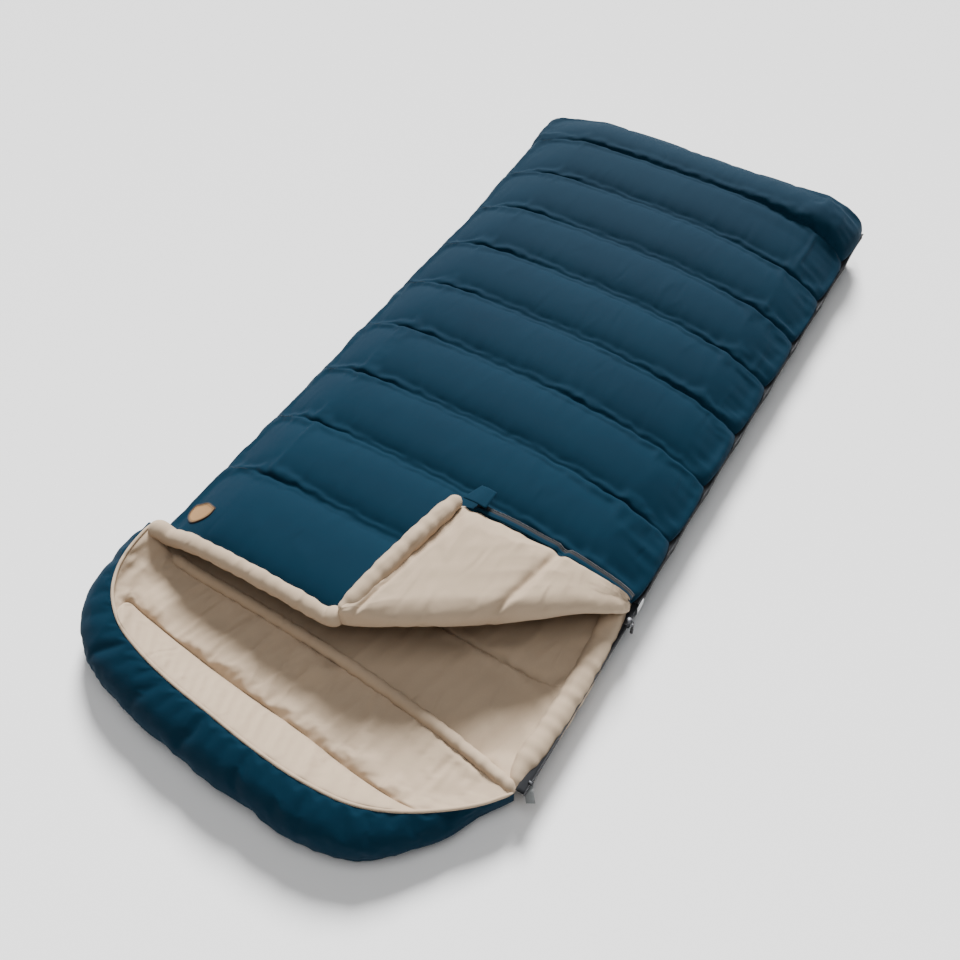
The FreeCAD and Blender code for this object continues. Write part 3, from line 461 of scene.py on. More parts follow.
def foot_skew(x, y):
    """The foot edge runs a little slantwise: its hinge-side corner lies nearer the head."""
    return 0.003 * smooth_step(y, 0.55, FOOT_Y) * (x / HALF - 1)


def foot_flare(x, y):
    """The hinge side widens a little towards the foot corner."""
    out = 0.012 * smooth_step(y, 0.45, 0.80) + 0.018 * smooth_step(y, 0.78, 0.97)
    return -out * smooth_step(-x, 0.30, 0.43)


def shape_foot(points):
    """Give points the flare and the slant of the foot corner, in place."""
    points[..., 0] += foot_flare(points[..., 0], points[..., 1])
    points[..., 1] += foot_skew(points[..., 0], points[..., 1])


def seam_distance(lines, y):
    """How far each row is from its nearest seam."""
    return np.min(np.abs(np.asarray(y)[:, None] - np.asarray(lines)[None]), axis=1)


def pinned_grid(rows, columns, extra_columns=()):
    """Vertex numbers of the seam rows and of the chosen columns."""
    numbers = [r * columns + c for r, row in enumerate(rows) if row[2] for c in range(columns)]
    for c in extra_columns:
        numbers += [r * columns + (c % columns) for r in range(len(rows))]
    return sorted(set(numbers))


def pinned_border(rows, columns, held_rows, held_columns):
    """Vertex numbers of the given rows and columns of a grid."""
    numbers = [r * columns + c for r in held_rows for c in range(columns)]
    numbers += [r * columns + c for r in range(rows) for c in held_columns]
    return sorted(set(numbers))


def stitches(name, line, normal, material, pitch=0.0045, length=0.0032, radius=0.00045):
    """Short threads laid end to end along a line of points."""
    line = np.asarray(line, float)
    total = np.linalg.norm(np.diff(line, axis=0), axis=1).sum()
    count = max(2, int(total / pitch))
    centres = resample(line, count)
    normal = resample(normal, count) if len(normal) > 1 else np.repeat(normal, count, axis=0)
    along = unit(np.gradient(centres, axis=0))
    side = unit(np.cross(along, normal), 1e-9)
    up = np.cross(side, along)
    profile = ((-0.5, 0.35), (-0.3, 1.0), (0.3, 1.0), (0.5, 0.35))
    vertices, faces = [], []
    for place, a, s, u in zip(centres, along, side, up):
        base = len(vertices)
        for reach, size in profile:
            for k in range(4):
                angle = math.pi / 4 + k * math.pi / 2
                vertices.append(place + a * reach * length
                                + (s * math.cos(angle) + u * math.sin(angle)) * radius * size)
        faces += ring_faces(base, 3, 4)
        faces.append((base + 3, base + 2, base + 1, base))
        faces.append((base + 12, base + 13, base + 14, base + 15))
    return new_piece(name, vertices, faces, material)


# ------------------------------------------------------------------ top panel

TOP_COLUMNS = 104
TOP_ROWS = 20


def quilt_grid(rows, x, height, outward, foot_end):
    """Points of a quilted arch: rows of (y, puff, seam) over columns x, puffed along its normals."""
    y, puff = row_values(rows)
    points = level_grid(x, y, height(x[None], y[:, None], foot_end))
    normal = grid_normals(points)
    normal *= np.sign(normal[len(rows) // 2, len(x) // 2, 2]) * outward
    return points, normal, y, puff


def outer_height(x, y, foot_end):
    """Height of the outer face before its baffles are puffed."""
    rise = (CROWN_Z - VALLEY_DROP - SEAM_Z - 0.004) * (1 - FOOT_SINK * smooth_step(y, FOOT_SINK_Y, FOOT_Y))
    edge = SEAM_Z + 0.004 - 0.005 * smooth_step(-x, HALF - 0.02, HALF)
    return edge + rise * np.minimum(fall(x, y, HALF + 0.001), foot_fall(y, foot_end))


def ceiling_height(x, y, foot_end):
    """Height of the lining under the top panel."""
    rise = (LINING_HIGH[2] - SEAM_Z - 0.004) * (1 - FOOT_SINK * smooth_step(y, FOOT_SINK_Y, FOOT_Y))
    return SEAM_Z + 0.003 + rise * np.minimum(fall(x, y, HALF - LINING_INSET), foot_fall(y, foot_end))


def top_shell():
    lines = seam_lines(HEAD_Y)
    rows = baffle_rows(lines, TOP_ROWS)
    x = arch_columns(HALF, SEAM_Z, CROWN_Z, TOP_COLUMNS)
    points, normal, y, puff = quilt_grid(rows, x, outer_height, 1, FOOT_Y)
    near_seam = np.exp(-seam_distance(lines, y) / 0.026)
    side = x / HALF
    depth = QUILT_DEPTH * (1 - 0.45 * smooth_step(side, 0.75, 1.0) - 0.78 * smooth_step(-side, 0.62, 0.98))
    lift = puff[:, None] * depth[None]
    for baffle in range(BAFFLE_COUNT):
        inside = (y <= lines[baffle] + 1e-9) & (y >= lines[baffle + 1] - 1e-9)
        across = np.repeat(x[None], int(inside.sum()), axis=0)
        pucker = creases(across, y[inside][:, None], 0.0036, 20 + baffle, spacing=0.020, drift=0.15)
        lift[inside] += (near_seam[inside] * np.minimum(1, puff[inside] * 3))[:, None] * pucker
    edge = smooth_step(x, 0.35, 0.405) * (1 - 0.75 * smooth_step(x, 0.405, HALF))
    along = np.repeat(y[:, None], len(x), axis=1)
    lift += edge[None] * creases(along, x[None], 0.0060, 5, spacing=0.030, drift=0.2)
    edge = smooth_step(-x, 0.36, 0.42) * 0.4
    lift += edge[None] * creases(along, x[None], 0.0040, 6, spacing=0.040, drift=0.2)
    points += normal * lift[..., None]
    shape_foot(points)
    seam_sway = waves(x, (0.037, 0.061, 0.11), 0.0022, 8)
    points[..., 1] += (near_seam * (y < FOOT_Y - 0.02) * (y > HEAD_Y + 0.02))[:, None] * seam_sway[None]
    piece = grid_piece("top_shell_quilt", points, NAVY)
    puff_up(piece, pinned_grid(rows, len(x), (0, -1)), pressure=3.0, growth=0.009, cap=0.009)
    seams = [r for r, row in enumerate(rows) if row[2]][1:-1]
    return piece, points, normal, seams


def top_lining():
    lines = seam_lines(HEAD_Y)
    rows = baffle_rows(lines, 10)
    x = arch_columns(HALF - LINING_INSET, SEAM_Z, LINING_HIGH[2], 72)
    x = np.where(x < 0, x * (HALF - 3 * LINING_INSET) / (HALF - LINING_INSET), x)
    points, normal, _, puff = quilt_grid(rows, x, ceiling_height, -1, FOOT_Y - 0.014)
    depth = 0.010 * (1 - smooth_step(np.abs(x) / HALF, 0.75, 0.97))
    lift = puff[:, None] * depth[None]
    lift += waves(x, (0.05, 0.09), 0.0012, 61)[None] * np.minimum(1, puff * 3)[:, None]
    points += normal * lift[..., None]
    shape_foot(points)
    piece = grid_piece("top_lining_quilt", points[:, ::-1], BEIGE)
    puff_up(piece, pinned_grid(rows, len(x), (0, -1)), pressure=1.2, growth=0.02, cap=0.006)
    return piece


def trim(piece, place, outward):
    """Remove what lies beyond a plane."""
    work = bmesh.new()
    work.from_mesh(piece.data)
    bmesh.ops.bisect_plane(work, geom=work.verts[:] + work.edges[:] + work.faces[:], plane_co=Vector(place),
                           plane_no=Vector(outward), clear_outer=True)
    work.to_mesh(piece.data)
    work.free()


def surface_z(x, y, lift=0.0, puff=0.75):
    """Height of the closed top panel's outer face, with a typical puff."""
    return outer_height(np.asarray(x, float), np.asarray(y, float), FOOT_Y) + QUILT_DEPTH * puff + lift


COLLAR_JOINT = FOLD_HEAD + np.array([-0.001, 0.006, -0.012])


def head_collar():
    """The padded tube that binds the head edge, up to the fold."""
    x = np.array([-0.442, -0.425, -0.395, -0.35, -0.29, -0.21, -0.13, -0.06, -0.01])
    z = surface_z(x, HEAD_Y, -0.012, 0)
    z[:2] = (SEAM_Z + 0.022, SEAM_Z + 0.048)
    joint = COLLAR_JOINT
    path = smooth_line(np.vstack([np.stack([x, np.full(len(x), HEAD_Y + 0.002), z], axis=1), joint]), 90)
    radius = 0.0188 + waves(np.linspace(0, 0.5, 90), (0.028, 0.043, 0.09), 0.0009, 3)
    piece = tube_piece("head_collar", path, radius, BEIGE, sides=20)
    subdivide(piece)
    return piece


# ------------------------------------------------------------------ folded corner

FLAP_COLUMNS = 110
FLAP_SWEEP = 56
FLAP_FRONT = 0.42    # share of the sweep that goes round the fold's front


def flap_edges(count):
    """Points along the fold's front, and the matching points of the collar side and zip side."""
    share = 0.5 - 0.5 * np.cos(np.linspace(0, math.pi, count))
    line = FOLD_HEAD + (FOLD_SIDE - FOLD_HEAD) * share[:, None]
    bulge = 0.044 * np.sin(math.pi * share) ** 0.6 + 0.008 * smooth_step(share, 0.75, 1)
    front = line + FOLD_OUT * bulge[:, None]
    split = 0.47
    far = np.empty_like(line)
    for k, value in enumerate(share):
        if value < split:
            start, end, part = FOLD_HEAD, TIP, value / split
        else:
            start, end, part = TIP, FOLD_SIDE, (value - split) / (1 - split)
        far[k] = start + (end - start) * part
    return share, line, front, far


def flap_pillow():
    """The lining side of the fold: from the ceiling, round its front, over and back to the far edges."""
    share, line, front, far = flap_edges(FLAP_COLUMNS)
    taper = 1 - smooth_step(share, 0.80, 1.0)
    thick = 0.032 * np.sin(math.pi * share) ** 0.35 * taper
    rows = []
    for sweep in np.linspace(0, 1, FLAP_SWEEP):
        row = np.empty_like(line)
        for k in range(len(line)):
            top_z = surface_z(line[k, 0], line[k, 1], 0.008 + 0.004 * taper[k] + 0.6 * thick[k], 0.6)
            low_z = max(float(ceiling_height(line[k, 0], line[k, 1], FOOT_Y)) - 0.004, SEAM_Z + 0.004)
            inner = line[k] - FOLD_OUT * 0.03
            if sweep < FLAP_FRONT:
                angle = math.pi * sweep / FLAP_FRONT
                middle_z, reach_z = (top_z + low_z) / 2, (top_z - low_z) / 2
                flat = front[k] - line[k]
                base = line[k] * 0.5 + front[k] * 0.5
                start = inner + (base - inner) * (0.5 - 0.5 * math.cos(min(angle, math.pi / 2) * 2))
                place = line[k] + flat * math.sin(angle) ** 0.8
                if angle < math.pi / 2:
                    place = start * (1 - math.sin(angle)) + place * math.sin(angle)
                row[k] = (place[0], place[1], middle_z - reach_z * math.cos(angle))
            else:
                part = (sweep - FLAP_FRONT) / (1 - FLAP_FRONT)
                place = line[k] + (far[k] - line[k]) * part
                crown = 1 - (2 * part - 1) ** 4 if part > 0.5 else 1.0
                rest_z = surface_z(place[0], place[1], 0.006, 0.55)
                drop = top_z - surface_z(line[k, 0], line[k, 1], 0.006, 0.55)
                row[k] = (place[0], place[1], rest_z + drop * (1 - part) + 0.020 * crown * part)
        rows.append(row)
    points = np.array(rows)
    x, y = points[..., 0], points[..., 1]
    along, out = x * 0.765 + y * 0.644, x * 0.644 - y * 0.765
    wrinkle = creases(along, out, 0.0035, 44, spacing=0.06) + creases(out, along, 0.0022, 45, spacing=0.05)
    seam_place = np.abs((x - 0.262) * 0.985 - (y + 0.459) * 0.17)    # the pinched seam across the fold
    wrinkle -= 0.013 * np.exp(-(seam_place / 0.007) ** 2)
    collar_line = (TIP - FOLD_HEAD)[:2] / np.linalg.norm((TIP - FOLD_HEAD)[:2])
    collar_side = np.abs(np.cross(points[..., :2] - FOLD_HEAD[:2], collar_line))
    wrinkle -= 0.008 * np.exp(-((collar_side - 0.024) / 0.005) ** 2)
    points[..., 2] += wrinkle * smooth_step(np.linspace(0, 1, FLAP_SWEEP), 0.12, 0.4)[:, None]
    piece = grid_piece("flap_lining_fold", points, BEIGE)
    edge = pinned_border(FLAP_SWEEP, FLAP_COLUMNS, (0, FLAP_SWEEP - 1),
                         (0, 1, FLAP_COLUMNS - 2, FLAP_COLUMNS - 1))
    puff_up(piece, edge, pressure=1.2, growth=0.012, cap=0.006)
    return piece, points


def flap_under():
    """The navy outer side of the folded corner, which lies on the panel."""
    _, line, _, far = flap_edges(48)
    rows = []
    for part in np.linspace(0, 1, 20):
        place = line + (far - line) * part
        z = surface_z(place[:, 0], place[:, 1], 0.003, 0.75)
        rows.append(np.stack([place[:, 0], place[:, 1], z], axis=1))
    return grid_piece("flap_shell_under", np.array(rows), NAVY)


def flap_collar():
    """The collar tube on the folded corner: from the fold's front back to the tip."""
    start = FOLD_HEAD + np.array([0.004, 0.010, 0.0])
    end = TIP + np.array([-0.006, 0.006, 0.0])
    points = [start + (end - start) * part + UP * lift
              for part, lift in ((0.10, 0.006), (0.25, 0.014), (0.5, 0.017), (0.75, 0.016), (1.0, 0.010))]
    path = smooth_line([COLLAR_JOINT, *points], 70)
    radius = 0.0185 + waves(np.linspace(0, 0.34, 70), (0.026, 0.041, 0.08), 0.0009, 9)
    radius[-12:] *= np.linspace(1, 0.72, 12)
    piece = tube_piece("flap_collar", path, radius, BEIGE, sides=20)
    subdivide(piece)
    return piece


def zip_teeth(name, path, material, pitch=0.0026, width=0.0052, tall=0.0030):
    """A nylon coil: small rounded humps set across the path."""
    path = np.asarray(path, float)
    total = np.linalg.norm(np.diff(path, axis=0), axis=1).sum()
    centres = resample(path, max(4, int(total / pitch)))
    along = unit(np.gradient(centres, axis=0))
    side = unit(np.cross(along, UP))
    up = np.cross(side, along)
    ring = [(math.cos(k * math.pi / 3) * width / 2, math.sin(k * math.pi / 3) * tall / 2) for k in range(6)]
    vertices, faces = [], []
    for place, a, s, u in zip(centres, along, side, up):
        base = len(vertices)
        for reach, size in ((-0.42, 0.72), (0.0, 1.0), (0.42, 0.72)):
            for across, high in ring:
                vertices.append(place + a * reach * pitch + s * across * size + u * high * size)
        faces += ring_faces(base, 2, 6)
        faces.append(tuple(base + 5 - k for k in range(6)))
        faces.append(tuple(base + 12 + k for k in range(6)))
    return new_piece(name, vertices, faces, material)


def ribbon(name, path, across, width, material, thickness=0.0012, ripple=0.0):
    """A strip of tape: width to one side of the path along the direction across."""
    path = np.asarray(path, float)
    across = np.broadcast_to(np.asarray(across, float), path.shape)
    rows = []
    for part in np.linspace(0, 1, 4):
        row = path + across * width * part
        row[:, 2] += waves(np.arange(len(path)) * 0.01, (0.05, 0.083), ripple, 12) * part
        rows.append(row)
    piece = grid_piece(name, np.array(rows), material)
    thicken(piece, thickness)
    return piece


# ------------------------------------------------------------------ bottom panel

def bottom_profile(count):
    """Outline across the bag: left seam, bulging wall, flat floor, right wall, zip."""
    left, right = BOTTOM_LOW[0], BOTTOM_HIGH[0]
    top = SEAM_Z - 0.003
    points = [(left - 0.001, top + 0.002), (left - 0.012, 0.052), (left - 0.010, 0.030),
              (left + 0.006, 0.009), (left + 0.036, 0.0012), (left + 0.12, GROUND), (0, GROUND),
              (right - 0.12, GROUND), (right - 0.036, 0.0012), (right - 0.010, 0.009),
              (right - 0.002, 0.028), (right - 0.001, 0.048), (right + 0.002, top - 0.004)]
    return smooth_line(points, count)


def bottom_shell():
    lines = seam_lines(NECK_Y - 0.014)
    rows = baffle_rows(lines, 10)
    profile = bottom_profile(132)
    y, puff = row_values(rows)
    points = level_grid(profile[:, 0], y, profile[None, :, 1])
    wall = smooth_step(np.abs(profile[:, 0]), HALF - 0.05, HALF - 0.01)
    outward = np.sign(profile[:, 0]) * wall
    lift = (puff[:, None] - 0.5) * 0.012 + waves(y, (0.033, 0.057), 0.0012, 31)[:, None]
    points[..., 0] += outward[None] * lift * smooth_step(SEAM_Z - profile[:, 1], 0.0, 0.02)[None]
    rise = 1 - foot_fall(y, FOOT_Y, 0.075)
    points[..., 2] += (SEAM_Z - 0.006 - points[..., 2]) * rise[:, None]
    points[..., 2] = np.maximum(points[..., 2], GROUND)
    shape_foot(points)
    return grid_piece("bottom_shell_quilt", points, NAVY)


def bottom_lining():
    lines = [FOOT_Y - 0.026, 0.682, 0.356, 0.03, -0.296, -0.512, NECK_Y - 0.012]
    rows = baffle_rows(lines, 22)
    x = np.linspace(-HALF + 0.004, HALF - 0.012, 96)
    y, puff = row_values(rows)
    side = smooth_step(np.abs(x), 0.33, HALF - 0.006)
    foot = smooth_step(y, FOOT_Y - 0.10, FOOT_Y - 0.026)
    side = np.maximum(side[None], foot[:, None])
    floor = BASE_LOW[2] + 0.004
    points = level_grid(x, y, floor + (SEAM_Z - 0.006 - floor) * side ** 1.5)
    lift = 0.026 * puff[:, None] * (1 - side)
    lift += (np.exp(-seam_distance(lines, y) / 0.03) * np.minimum(1, puff * 3))[:, None] * waves(
        x, (0.05, 0.083, 0.13), 0.002, 71)[None]
    wrinkle = creases(x[None] - 0.25 * y[:, None], y[:, None], 0.0085, 72, spacing=0.034)
    lift += wrinkle * puff[:, None] * (1 - side)
    points[..., 2] += lift
    neck_reach = np.interp(x, *np.array(NECK_LINE).T)[None] - NECK_Y
    points[..., 1] += neck_reach * smooth_step(-y, 0.52, -NECK_Y)[:, None]
    piece = grid_piece("bottom_lining_quilt", points, BEIGE)
    puff_up(piece, pinned_grid(rows, len(x), (0, -1)), pressure=1.6, growth=0.03, cap=0.008)
    return piece


def draft_tube():
    """The padded tube beside the zip, seen where the corner is open."""
    path = smooth_line([(0.392, 0.93, 0.058), (0.394, 0.3, 0.058), (0.400, -0.20, 0.062),
                        (0.409, -0.31, 0.064), (0.418, -0.40, 0.063), (0.422, -0.50, 0.062),
                        (0.421, -0.58, 0.061), (0.417, -0.65, 0.060), (0.415, -0.690, 0.059),
                        (0.423, -0.722, 0.059)], 260)
    radius = 0.0235 + waves(path[:, 1], (0.024, 0.037, 0.071), 0.0011, 51)
    radius *= 1 - 0.45 * smooth_step(-path[:, 1], 0.655, 0.722)
    piece = tube_piece("draft_tube_padded", path, radius, BEIGE, sides=22)
    subdivide(piece)
    return piece


def neck_tube():
    path = smooth_line([(x, y, 0.059 + 0.006 * abs(x / 0.42) ** 6) for x, y in NECK_LINE[1:-1]]
                       + [(0.426, -0.726, 0.063)], 150)
    radius = 0.0125 + waves(path[:, 0], (0.02, 0.033, 0.06), 0.0009, 52)
    piece = tube_piece("neck_tube_padded", path, radius, BEIGE, sides=18)
    subdivide(piece)
    return piece


def side_zips():
    """Tapes and coils of the side and foot zips, lower and upper halves."""
    lower_end = COIL_LOW[1] - 0.028
    runs = (("lower", lower_end, COIL_HIGH[1], 200, ZIP_Z, "bottom_panel"),
            ("upper", UPPER_LOW[1], UPPER_HIGH[1], 160, UPPER_ZIP_Z, "top_panel"))
    for which, start, end, count, z, body in runs:
        side = np.array([[ZIP_X, y, z] for y in np.linspace(start, end, count)])
        foot = np.array([[x, FOOT_LOW[1] + 0.002, z] for x in np.linspace(-0.40, 0.42, 120)])
        scallop = np.abs(np.sin(math.pi * (side[:, 1] - 0.03) / BAFFLE))
        side[:, 0] -= 0.003 * scallop * smooth_step(side[:, 1], -0.3, -0.15) - 0.001
        foot[:, 1] += foot_skew(foot[:, 0], foot[:, 1])
        for run, path, across in (("side", side, (-1, 0, 0)), ("foot", foot, (0, -1, 0))):
            teeth = zip_teeth(f"{run}_coil_{which}", path, COIL)
            declare(teeth, "zip_coil", body, f"{run}_zip_coil_{which}")
            tape = ribbon(f"{run}_tape_{which}", path, across, 0.018, TAPE)
            declare(tape, "zip_tape", body, f"{run}_zip_tape_{which}")


# ------------------------------------------------------------------ hood

# outer edge (x, y) and rim (x, y, z) from the hinge-side end of the hood round its front to the zip-side end
HOOD_EDGES = (
    ((-0.484, -0.640), (-0.452, -0.648, 0.116)), ((-0.486, -0.700), (-0.446, -0.712, 0.120)),
    ((-0.484, -0.770), (-0.430, -0.765, 0.122)), ((-0.470, -0.833), (-0.398, -0.812, 0.122)),
    ((-0.434, -0.888), (-0.345, -0.850, 0.122)), ((-0.362, -0.932), (-0.278, -0.873, 0.121)),
    ((-0.250, -0.962), (-0.190, -0.890, 0.121)), ((-0.120, -0.978), (-0.090, -0.901, 0.120)),
    ((0.000, -0.986), (0.000, -0.910, 0.118)), ((0.100, -0.991), (0.088, -0.914, 0.115)),
    ((0.190, -0.982), (0.162, -0.909, 0.109)), ((0.258, -0.957), (0.215, -0.898, 0.102)),
    ((0.314, -0.909), (0.268, -0.874, 0.093)), ((0.357, -0.852), (0.323, -0.836, 0.082)),
    ((0.392, -0.786), (0.384, -0.782, 0.073)), ((0.426, -0.728), (0.426, -0.729, 0.067)))
HOOD_COLUMNS = 190
SEAM_START, SEAM_END = 0.19, 0.86
NECK_LINE = ((-0.448, -0.652), (-0.40, -0.664), (-0.33, -0.668), (-0.19, -0.668), (0.02, -0.674),
             (0.22, -0.690), (0.33, -0.706), (0.40, -0.719), (0.430, -0.728))


def hood_edges(count):
    """Outer edge, rim and rim directions of the hood, evenly spaced round it."""
    outer = np.array([(*edge, 0.0) for edge, _ in HOOD_EDGES])
    rim = np.array([rim for _, rim in HOOD_EDGES])
    both = smooth_line(np.hstack([outer, rim]), count)
    return both[:, :3], both[:, 3:]


def hood_wall():
    """The navy outside, from under the hood round to the rim."""
    outer, rim = hood_edges(HOOD_COLUMNS)
    centre = np.array([-0.03, -0.70, 0])
    towards = centre - outer
    towards[:, 2] = 0
    towards = unit(towards)
    section = smooth_line([(-0.13, 0.0), (-0.055, 0.0), (-0.026, 0.07), (-0.006, 0.24), (0.0, 0.40),
                           (0.10, 0.62), (0.40, 0.84), (0.84, 0.985), (1.0, 1.0)], 34)
    rows = []
    for across, height in section:
        if across < 0:
            row = outer - towards * across
        else:
            row = outer + (rim - outer) * across
        row[:, 2] = 0.001 + (rim[:, 2] - 0.001) * height
        rows.append(row)
    points = np.array(rows)
    travel = travel_along(outer)
    room = smooth_step(rim[:, 2], 0.07, 0.11)
    level = section[:, 1]
    lift = waves(travel, (0.045, 0.07, 0.12), 0.0022, 81)[None] * smooth_step(level, 0.45, 0.95)[:, None]
    lift += waves(travel, (0.16, 0.27), 0.003, 82)[None] * smooth_step(level, 0.05, 0.3)[:, None] * 0.7
    low_part = smooth_step(level, 0.02, 0.2) * (1 - smooth_step(level, 0.4, 0.8))
    lift += low_part[:, None] * creases(travel[None], level[:, None] * 0.2, 0.0036, 85, spacing=0.034)
    points -= towards[None] * (lift * room[None])[..., None]
    points[..., 2] = np.maximum(points[..., 2], GROUND)
    piece = grid_piece("hood_shell_padded", points, NAVY)
    pins = pinned_border(len(section), HOOD_COLUMNS, (0, 1, 2, 3, len(section) - 1),
                         (0, 1, HOOD_COLUMNS - 2, HOOD_COLUMNS - 1))
    puff_up(piece, pins, pressure=1.4, growth=0.012, cap=0.006)
    return piece


def inner_seam(rim, count):
    """The seam across the hood's lining: it leaves the rim near one end and meets it again near the other."""
    first, last = rim[int(SEAM_START * len(rim))], rim[int(SEAM_END * len(rim))]
    middle = [(-0.385, -0.797, 0.085), (-0.345, -0.797, 0.066), (-0.20, -0.811, 0.056),
              (-0.10, -0.819, 0.055), (0.04, -0.827, 0.055), (0.16, -0.840, 0.057), (0.25, -0.846, 0.066)]
    return smooth_line([first, *middle, last], count)


def hood_inside():
    """The beige slope from the inner seam up to the rim."""
    _, rim = hood_edges(HOOD_COLUMNS)
    first, last = int(SEAM_START * HOOD_COLUMNS), int(SEAM_END * HOOD_COLUMNS)
    columns, count = 120, 22
    far = resample(rim[first:last + 1], columns)
    near = inner_seam(rim, columns)
    rows = []
    for part in np.linspace(0, 1, count):
        row = near + (far - near) * part
        row[:, 2] = near[:, 2] + (far[:, 2] - near[:, 2]) * part ** 1.15
        rows.append(row)
    points = np.array(rows)
    middle = np.sin(math.pi * np.linspace(0, 1, count)) ** 0.5
    reach = np.linalg.norm(far - near, axis=1)
    room = smooth_step(reach, 0.0, 0.06)
    wrinkle = creases(travel_along(far)[None], np.linspace(0, 0.1, count)[:, None], 0.0085, 83, spacing=0.036)
    lift = middle[:, None] * (0.015 + wrinkle)
    points[..., 2] += lift * room[None]
    piece = grid_piece("hood_lining_slope", points, BEIGE)
    pins = pinned_border(count, columns, (0, count - 1), (0, 1, columns - 2, columns - 1))
    puff_up(piece, pins, pressure=1.8, growth=0.04, cap=0.008)
    return piece


def hood_floor():
    """The beige panel between the neck tube and the inner seam, with its ends rising to the rim."""
    _, rim = hood_edges(HOOD_COLUMNS)
    first, last = int(SEAM_START * HOOD_COLUMNS), int(SEAM_END * HOOD_COLUMNS)
    columns, count = 120, 26
    near = smooth_line([(*place, 0.046) for place in NECK_LINE], columns)
    near[:, 2] = 0.046
    left, right = resample(rim[:first + 1], count), resample(rim[last:], count)[::-1]
    far = inner_seam(rim, columns)
    share = np.linspace(0, 1, columns)
    rows = []
    for r, part in enumerate(np.linspace(0, 1, count)):
        row = near + (far - near) * part
        start_gap, end_gap = left[r] - row[0], right[r] - row[-1]
        start_share = (1 - smooth_step(share, 0, 0.09))[:, None]
        end_share = smooth_step(share, 0.90, 1.0)[:, None]
        row = row + start_gap * start_share + end_gap * end_share
        crown = max(0.0, 1 - abs(2 * part - 1) ** 2.6) ** 0.55
        inside = smooth_step(share, 0.0, 0.1) * (1 - smooth_step(share, 0.9, 1.0))
        wrinkle = creases(row[:, 0] - 0.2 * row[:, 1], row[:, 1], 0.0075, 84, spacing=0.036)
        row[:, 2] += inside * crown * (0.019 + wrinkle)
        rows.append(row)
    points = np.array(rows)
    piece = grid_piece("hood_lining_floor", points, BEIGE)
    pins = pinned_border(count, columns, (0, count - 1), (0, 1, columns - 2, columns - 1))
    puff_up(piece, pins, pressure=1.8, growth=0.04, cap=0.008)
    return piece


def hood_rim():
    _, rim = hood_edges(HOOD_COLUMNS)
    piece = tube_piece("hood_rim_piping_round", rim + UP * 0.0005, 0.0036, BEIGE, sides=10)
    subdivide(piece)
    return piece


# ------------------------------------------------------------------ small parts

def rounded_plate(name, outline, thickness, material, bevel=0.0006):
    """A flat plate over an outline of points in its own plane (x, y), with rounded edges."""
    vertices = [(x, y, -thickness / 2) for x, y in outline] + [(x, y, thickness / 2) for x, y in outline]
    count = len(outline)
    faces = [tuple(range(count - 1, -1, -1)), tuple(range(count, 2 * count))]
    faces += [(k, (k + 1) % count, count + (k + 1) % count, count + k) for k in range(count)]
    piece = new_piece(name, vertices, faces, material)
    edge = piece.modifiers.new("Edges", "BEVEL")
    edge.width = bevel
    edge.segments = 2
    edge.limit_method = "ANGLE"
    return piece


def rectangle(half_x, half_y):
    return [(-half_x, -half_y), (half_x, -half_y), (half_x, half_y), (-half_x, half_y)]


def place(piece, position, columns=None):
    """Move a piece to a position, with its own axes along the given columns."""
    matrix = Matrix.Identity(4)
    if columns is not None:
        for k, column in enumerate(columns):
            for r in range(3):
                matrix[r][k] = float(column[r])
    for r in range(3):
        matrix[r][3] = float(position[r])
    piece.matrix_world = matrix
    bpy.context.view_layer.update()
    return piece


def join(name, parts):
    """Join meshes into one piece."""
    for part in parts:
        part.data.transform(part.matrix_world)
        part.matrix_world.identity()
    bpy.ops.object.select_all(action="DESELECT")
    for part in parts:
        bpy.context.view_layer.objects.active = part
        part.select_set(True)
        for modifier in list(part.modifiers):
            bpy.ops.object.modifier_apply(modifier=modifier.name)
    bpy.context.view_layer.objects.active = parts[0]
    bpy.ops.object.join()
    parts[0].name = name
    parts[0].data.name = name
    return parts[0]


